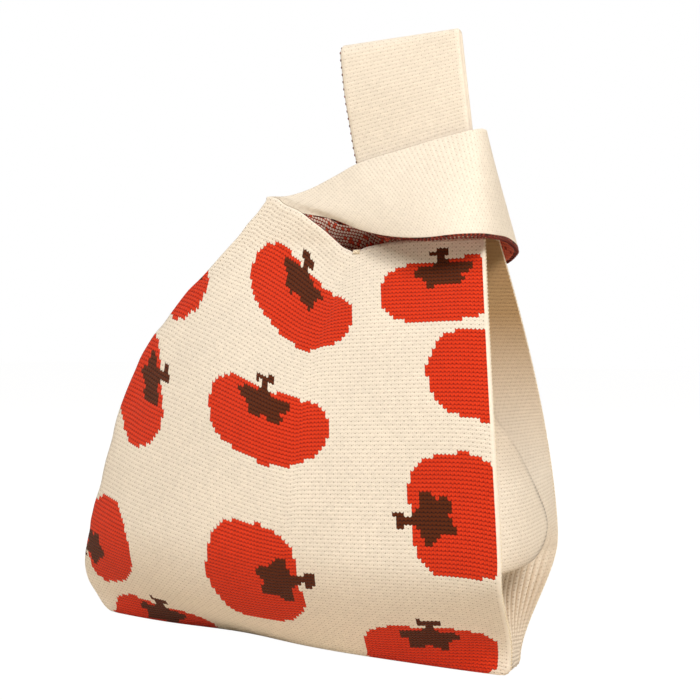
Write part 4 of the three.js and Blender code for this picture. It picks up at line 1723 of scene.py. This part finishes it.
@dataclass(frozen=True)
class StitchChain:
    """A row of chain stitches along a path; each stitch is a V of two short bulges of yarn.

    Attributes:
        pitch: Distance from stitch to stitch.
        width: Width of the V.
        leg: Length of each leg.
        yarn: Thickness of the yarn.
        slant: Lean of the legs in degrees.
    """

    pitch: float = 2.15
    width: float = 2.6
    leg: float = 2.7
    yarn: float = 1.2
    slant: float = 28.0

    def tree(self) -> bpy.types.NodeTree:
        """Makes the node tree that lays the stitches.

        Returns:
            The tree.
        """
        sizes = ("Pitch", "Width", "Leg", "Yarn", "Slant")
        inputs = {"Geometry": "NodeSocketGeometry", **{name: "NodeSocketFloat" for name in sizes},
                  "Material": "NodeSocketMaterial"}
        group = new_group("stitch_chain", "GeometryNodeTree", inputs, {"Geometry": "NodeSocketGeometry"})
        t = Tree(group)
        math_node = "ShaderNodeMath"
        path, pitch, width, leg, yarn, slant, material = (
            t.add("NodeGroupInput", out=name) for name in inputs)
        curve = t.add("GeometryNodeMeshToCurve", path)
        curve = t.add("GeometryNodeResampleCurve", curve, named={"Length": pitch}, mode="LENGTH")
        facing = t.add("GeometryNodeInputNamedAttribute", "facing", data_type="FLOAT_VECTOR")
        turn = t.add("FunctionNodeAlignRotationToVector", named={
            "Vector": t.add("GeometryNodeInputTangent")}, axis="Y")
        turn = t.add("FunctionNodeAlignRotationToVector", named={"Rotation": turn, "Vector": facing},
                     axis="Z", pivot_axis="Y")
        # A bulge has few faces, because there are hundreds of them.
        bulge = t.add("GeometryNodeMeshUVSphere", 6, 4, 0.5)
        scale = t.add("ShaderNodeCombineXYZ", yarn, leg, yarn)
        legs = []
        for side in (-1, 1):
            across = t.add(math_node, width, side * 0.25, operation="MULTIPLY")
            lean = t.add(math_node, slant, -side, operation="MULTIPLY")
            legs.append(t.add("GeometryNodeTransform", bulge, named={
                "Translation": t.add("ShaderNodeCombineXYZ", across),
                "Rotation": t.add("ShaderNodeCombineXYZ", None, None, lean), "Scale": scale}))
        stitch = t.add("GeometryNodeJoinGeometry", legs)
        row = t.add("GeometryNodeInstanceOnPoints", curve, named={"Instance": stitch, "Rotation": turn})
        row = t.add("GeometryNodeRealizeInstances", row)
        row = t.add("GeometryNodeSetShadeSmooth", row)
        row = t.add("GeometryNodeSetMaterial", row, named={"Material": material})
        t.add("NodeGroupOutput", row)
        return group

    def along(self, name: str, path: np.ndarray, facing: np.ndarray,
              material: bpy.types.Material) -> bpy.types.Object:
        """Lays the stitches along a path and keeps them as a plain mesh.

        Args:
            name: Name of the object.
            path: Points of the path.
            facing: Direction that the stitches face at each point.
            material: Material of the yarn.

        Returns:
            The new object.
        """
        mesh = bpy.data.meshes.new(name)
        mesh.from_pydata((path * MM).tolist(), [(k, k + 1) for k in range(len(path) - 1)], [])
        layer = mesh.attributes.new("facing", "FLOAT_VECTOR", "POINT")
        layer.data.foreach_set("vector", np.asarray(facing, np.float32).ravel())
        obj = bpy.data.objects.new(name, mesh)
        bpy.context.scene.collection.objects.link(obj)
        group = bpy.data.node_groups.get("stitch_chain") or self.tree()
        modifier = obj.modifiers.new("stitches", "NODES")
        modifier.node_group = group
        values = {"Pitch": self.pitch * MM, "Width": self.width * MM, "Leg": self.leg * MM,
                  "Yarn": self.yarn * MM, "Slant": math.radians(self.slant), "Material": material}
        for item in group.interface.items_tree:
            if item.name in values:
                modifier[item.identifier] = values[item.name]
        result = obj.evaluated_get(bpy.context.evaluated_depsgraph_get())
        made = bpy.data.meshes.new_from_object(result)
        obj.modifiers.clear()
        obj.data = made
        made.name = name
        return obj


@dataclass(frozen=True)
class Seams:
    """Linking and edge stitches: side seams, bottom seam, edges of the handles and mouth tacks.

    Attributes:
        panel: Panel whose edges they follow.
        chain: Stitches of the side seams.
        side_offset: How far inside the panel's edge they lie in X and in Y.
        base_chain: Stitches of the bottom seam.
        base_ends: How far inside the panels' left and right corners the bottom seam ends.
        base_height: Height of its middle.
        edge_chain: Stitches along the short handle's lower edge.
        edge_offset: How far they lie inside the cloth's outer face, and beyond its edge.
        edge_ends: Columns without them at each root.
        strap_chain: Stitches along the long handle's left edge.
        strap_offset: How far they lie inside the cloth's outer face, and beyond its edge.
        tack_chain: Turns of thread round a mouth tack.
        tack_half_width: Half the width of a mouth tack.
        tack_offset: How far outside the panel's top edge it lies, and how far above it.
    """

    panel: Panel
    chain: StitchChain = StitchChain(width=1.8, leg=2.3, yarn=0.9)
    side_offset: tuple = (0.1, 1.5)
    base_chain: StitchChain = StitchChain(width=5.6, leg=4.0, yarn=2.4, slant=40.0)
    base_ends: tuple = (1.0, 7.0)
    base_height: float = 1.3
    edge_chain: StitchChain = StitchChain(pitch=2.3, width=2.0, leg=2.2, yarn=1.25, slant=40.0)
    edge_offset: tuple = (1.5, 1.3)
    edge_ends: int = 3
    strap_chain: StitchChain = StitchChain(pitch=4.4, width=1.6, leg=1.7, yarn=0.9, slant=10.0)
    strap_offset: tuple = (1.3, 0.9)
    tack_chain: StitchChain = StitchChain(pitch=0.7, width=1.4, leg=2.2, yarn=1.1, slant=80.0)
    tack_half_width: float = 1.7
    tack_offset: tuple = (0.4, 0.3)

    def side(self, face: Face, side: Side, finishes: Finishes) -> bpy.types.Object:
        """Makes the ridge of linking stitches where a panel meets a gusset.

        Args:
            face: Which panel.
            side: Which gusset.
            finishes: Finishes of the bag.

        Returns:
            The new object.
        """
        column = self.panel.grid()[self.panel.base_rows :, 0 if side is Side.LEFT else -1]
        inset, depth = self.side_offset
        path = column[column[:, 2] < GUSSET_TOP] + [side.value * -inset, depth, 0]
        path[:, 1] *= -face.value
        facing = np.tile([side.value * 1.0, face.value * 0.3, 0.0], (len(path), 1))
        name = f"{face.name.lower()}_{side.name.lower()}_linking"
        return self.chain.along(name, path, facing, finishes.linking)

    def base(self, finishes: Finishes) -> bpy.types.Object:
        """Makes the flat row of linking stitches between the two panels under the bag.

        Args:
            finishes: Finishes of the bag.

        Returns:
            The new object.
        """
        shape = self.panel.shape
        left, right = self.base_ends
        x = np.linspace(float(shape.left_x(0)) + left, float(shape.right_x(0)) - right, 120)
        path = np.stack([x, 0 * x, 0 * x + self.base_height], -1)
        facing = np.tile([0.0, 0.0, -1.0], (len(x), 1))
        return self.base_chain.along("bottom_linking", path, facing, finishes.linking)

    def band_edge(self, grid: np.ndarray, finishes: Finishes) -> bpy.types.Object:
        """Makes the dark edge stitches along the band's lower edge.

        Args:
            grid: Points of the band's outer face.
            finishes: Finishes of the bag.

        Returns:
            The new object.
        """
        inset, beyond = self.edge_offset
        part = slice(self.edge_ends, -self.edge_ends)
        path = grid[0, part] - grid_normals(grid)[0, part] * inset
        out = grid[0, part] - grid[1, part]
        out /= np.linalg.norm(out, axis=1, keepdims=True)
        return self.edge_chain.along("short_handle_edge", path + out * beyond, out, finishes.dark_yarn)

    def strap_edge(self, grid: np.ndarray, finishes: Finishes) -> bpy.types.Object:
        """Makes the dark edge stitches along the long handle's left edge.

        Args:
            grid: Points of the handle's outer face.
            finishes: Finishes of the bag.

        Returns:
            The new object.
        """
        inset, beyond = self.strap_offset
        path = grid[:, 0] - grid_normals(grid)[:, 0] * inset
        out = grid[:, 0] - grid[:, 1]
        out /= np.linalg.norm(out, axis=1, keepdims=True)
        return self.strap_chain.along("long_handle_edge", path + out * beyond, out, finishes.dark_yarn)

    def tack(self, face: Face, finishes: Finishes) -> bpy.types.Object:
        """Makes the short wound bar across the lowest point of the mouth.

        Args:
            face: Which panel.
            finishes: Finishes of the bag.

        Returns:
            The new object.
        """
        grid = self.panel.grid(face)[-1]
        low = grid[int(round(self.panel.lowest * self.panel.columns))]
        x = low[0] + np.linspace(-self.tack_half_width, self.tack_half_width, 8)
        outside, above = self.tack_offset
        y = (low[1] - outside) * -face.value
        path = np.stack([x, 0 * x + y, 0 * x + low[2] + above], -1)
        facing = np.tile([0.0, face.value * 1.0, 0.3], (len(x), 1))
        return self.tack_chain.along(f"{face.name.lower()}_tack", path, facing, finishes.linking)


@dataclass(frozen=True)
class Studio:
    """Camera at the photograph's viewing angle, soft lamps, and a pale floor that looks white.

    Attributes:
        stand: Where the camera stands.
        heading: Turn of the camera to the left of +Y, in degrees.
        focal_px: Focal length in pixels of the picture.
        horizon_px: Row of the picture that the horizon lies on.
        frame_px: Width and height of the picture.
        sensor: Width of the camera's sensor.
        ambient: Strength of the even light from all sides.
        ambient_tint: Its colour.
        lamps: Name, place in metres, side in metres and power in watts of each square lamp: the
            brightest at the front right, a weaker one at the front left and one behind.
        lamp_tint: Colour of the lamps.
        aim: Height that they look at.
        board: Colour of the floor.
        glow: Strength with which the camera sees it, where 1 is white.
        glow_share: How much of what the camera sees of it is that white.
        floor_reach: How far it goes each way.
    """

    stand: tuple = (334.85, -540.15, 185.0)
    heading: float = 28.0
    focal_px: float = 1013.0
    horizon_px: float = 340.0
    frame_px: float = 700.0
    sensor: float = 36.0
    ambient: float = 0.14
    ambient_tint: str = "#FFE6C6"
    lamps: tuple = (
        ("key", (1.9, -1.6, 2.15), 1.0, 74.0),
        ("fill", (-0.6, -2.0, 2.3), 1.0, 25.0),
        ("back", (-0.5, 1.3, 1.2), 0.9, 16.0),
    )
    lamp_tint: str = "#FFF9F1"
    aim: float = 160.0
    board: str = "#F0E6D6"
    glow: float = 1.05
    glow_share: float = 0.94
    floor_reach: float = 6000.0

    def camera(self) -> None:
        """Makes the camera."""
        data = bpy.data.cameras.new("camera")
        data.sensor_width = self.sensor
        data.lens = self.sensor * self.focal_px / self.frame_px
        data.shift_y = (self.horizon_px - self.frame_px / 2) / self.frame_px
        data.clip_start, data.clip_end = 0.01, 50
        obj = bpy.data.objects.new("camera", data)
        obj.location = Vector(self.stand) * MM
        obj.rotation_euler = (math.pi / 2, 0, math.radians(self.heading))
        bpy.context.scene.collection.objects.link(obj)
        bpy.context.scene.camera = obj

    def lamp(self, name: str, place: tuple, size: float, power: float) -> None:
        """Makes a square area lamp that looks at the middle of the bag.

        Args:
            name: Name of the lamp.
            place: Where it stands, in metres.
            size: Side of the square in metres.
            power: Its power in watts.
        """
        data = bpy.data.lights.new(name, "AREA")
        data.shape, data.size, data.energy = "SQUARE", size, power
        data.color = linear(self.lamp_tint)[:3]
        obj = bpy.data.objects.new(name, data)
        obj.location = place
        target = Vector((0, 0, self.aim * MM))
        obj.rotation_euler = (target - obj.location).to_track_quat("-Z", "Y").to_euler()
        bpy.context.scene.collection.objects.link(obj)

    def background(self) -> None:
        """Makes the world: soft even light, and white where the camera looks past the bag."""
        world = bpy.data.worlds.new("studio")
        bpy.context.scene.world = world
        world.use_nodes = True
        world.node_tree.nodes.clear()
        t = Tree(world.node_tree)
        seen = self.seen(t)
        strength = t.add("ShaderNodeMapRange", seen, 0.0, 1.0, self.ambient, 1.0)
        tint = t.add("ShaderNodeMix", named={0: seen, 6: linear(self.ambient_tint), 7: (1, 1, 1, 1)},
                     out=2, data_type="RGBA")
        light = t.add("ShaderNodeBackground", tint, strength)
        t.add("ShaderNodeOutputWorld", light)

    @staticmethod
    def seen(t: Tree) -> bpy.types.NodeSocket:
        """Adds the nodes that tell camera, mirror and glass rays from the rays that light things.

        Args:
            t: The tree that takes them.

        Returns:
            A socket that is 1 for the first and 0 for the others.
        """
        rays = [t.add("ShaderNodeLightPath", out=name)
                for name in ("Is Camera Ray", "Is Glossy Ray", "Is Transmission Ray")]
        some = t.add("ShaderNodeMath", rays[0], rays[1], operation="MAXIMUM")
        return t.add("ShaderNodeMath", some, rays[2], operation="MAXIMUM")

    def floor(self) -> None:
        """Makes the floor."""
        # Matt painted board: an even white without gloss, which keeps a faint soft shadow.
        material, t = new_material("matt_white_board")
        board = t.add("ShaderNodeBsdfDiffuse", linear(self.board))
        glow = t.add("ShaderNodeEmission", (1, 1, 1, 1), self.glow)
        share = t.add("ShaderNodeMath", self.seen(t), self.glow_share, operation="MULTIPLY")
        t.add("ShaderNodeOutputMaterial", t.add("ShaderNodeMixShader", share, board, glow))
        reach = self.floor_reach
        corners = [(-reach, -reach, 0), (reach, -reach, 0), (reach, reach, 0), (-reach, reach, 0)]
        new_object("floor", np.array(corners), [[0, 1, 2, 3]], [material])

    def build(self) -> None:
        """Makes the camera, the lamps, the world and the floor."""
        scene = bpy.context.scene
        scene.view_settings.view_transform = "Standard"
        self.camera()
        for name, place, size, power in self.lamps:
            self.lamp(name, place, size, power)
        self.background()
        self.floor()


def dress(obj: bpy.types.Object, slot: str, *nodes: str) -> None:
    """Hides the solids that a piece replaces, and reports its faces.

    Args:
        obj: The piece.
        slot: Material slot of the record; not used.
        nodes: Solids that it replaces, if any.
    """
    if nodes:
        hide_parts(*nodes)
    log.info("%s: %d faces", obj.name, len(obj.data.polygons))


def main() -> None:
    """Builds the bag and the studio."""
    logging.basicConfig(level=logging.INFO, format="%(name)s: %(message)s")
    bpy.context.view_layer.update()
    finishes = Finishes()
    panel = Panel(BodyShape())
    for face in Face:
        body = panel.build(face, finishes)
        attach(body, "bag_body")
        dress(body, "jacquard_knit", f"{face.name.lower()}_panel")
    for side in Side:
        gusset = Gusset(panel.shape, side, GUSSET_DEPTHS[side]).build(finishes)
        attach(gusset, "bag_body")
        dress(gusset, "plain_knit", f"{side.name.lower()}_gusset")
    seams = Seams(panel)
    for face in Face:
        for side in Side:
            ridge = seams.side(face, side, finishes)
            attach(ridge, "bag_body")
            dress(ridge, "linking_yarn", f"{face.name.lower()}_{side.name.lower()}_seam")
        tack = seams.tack(face, finishes)
        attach(tack, "bag_body")
        dress(tack, "linking_yarn", f"{face.name.lower()}_mouth_tack")
    base = seams.base(finishes)
    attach(base, "bag_body")
    dress(base, "linking_yarn", "bottom_seam")
    handle, band = LongHandle(panel), ShortHandle(panel)
    strap_pieces = (handle.build(finishes), seams.strap_edge(handle.grid(), finishes))
    # Each handle's cloth turns over 16 mm and 45 mm of its way round the hinge.
    for piece in strap_pieces:
        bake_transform(piece)
    dress(strap_pieces[0], "jacquard_knit", "long_handle_front", "long_handle_back", "long_handle_join")
    dress(strap_pieces[1], "linking_yarn")
    band_pieces = (band.build(finishes), seams.band_edge(band.grid(), finishes))
    for piece in band_pieces:
        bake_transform(piece)
    dress(band_pieces[0], "jacquard_knit", "short_handle_front", "short_handle_back",
          "short_handle_join")
    dress(band_pieces[1], "linking_yarn")
    Studio().build()


if __name__ == "__main__":
    main()
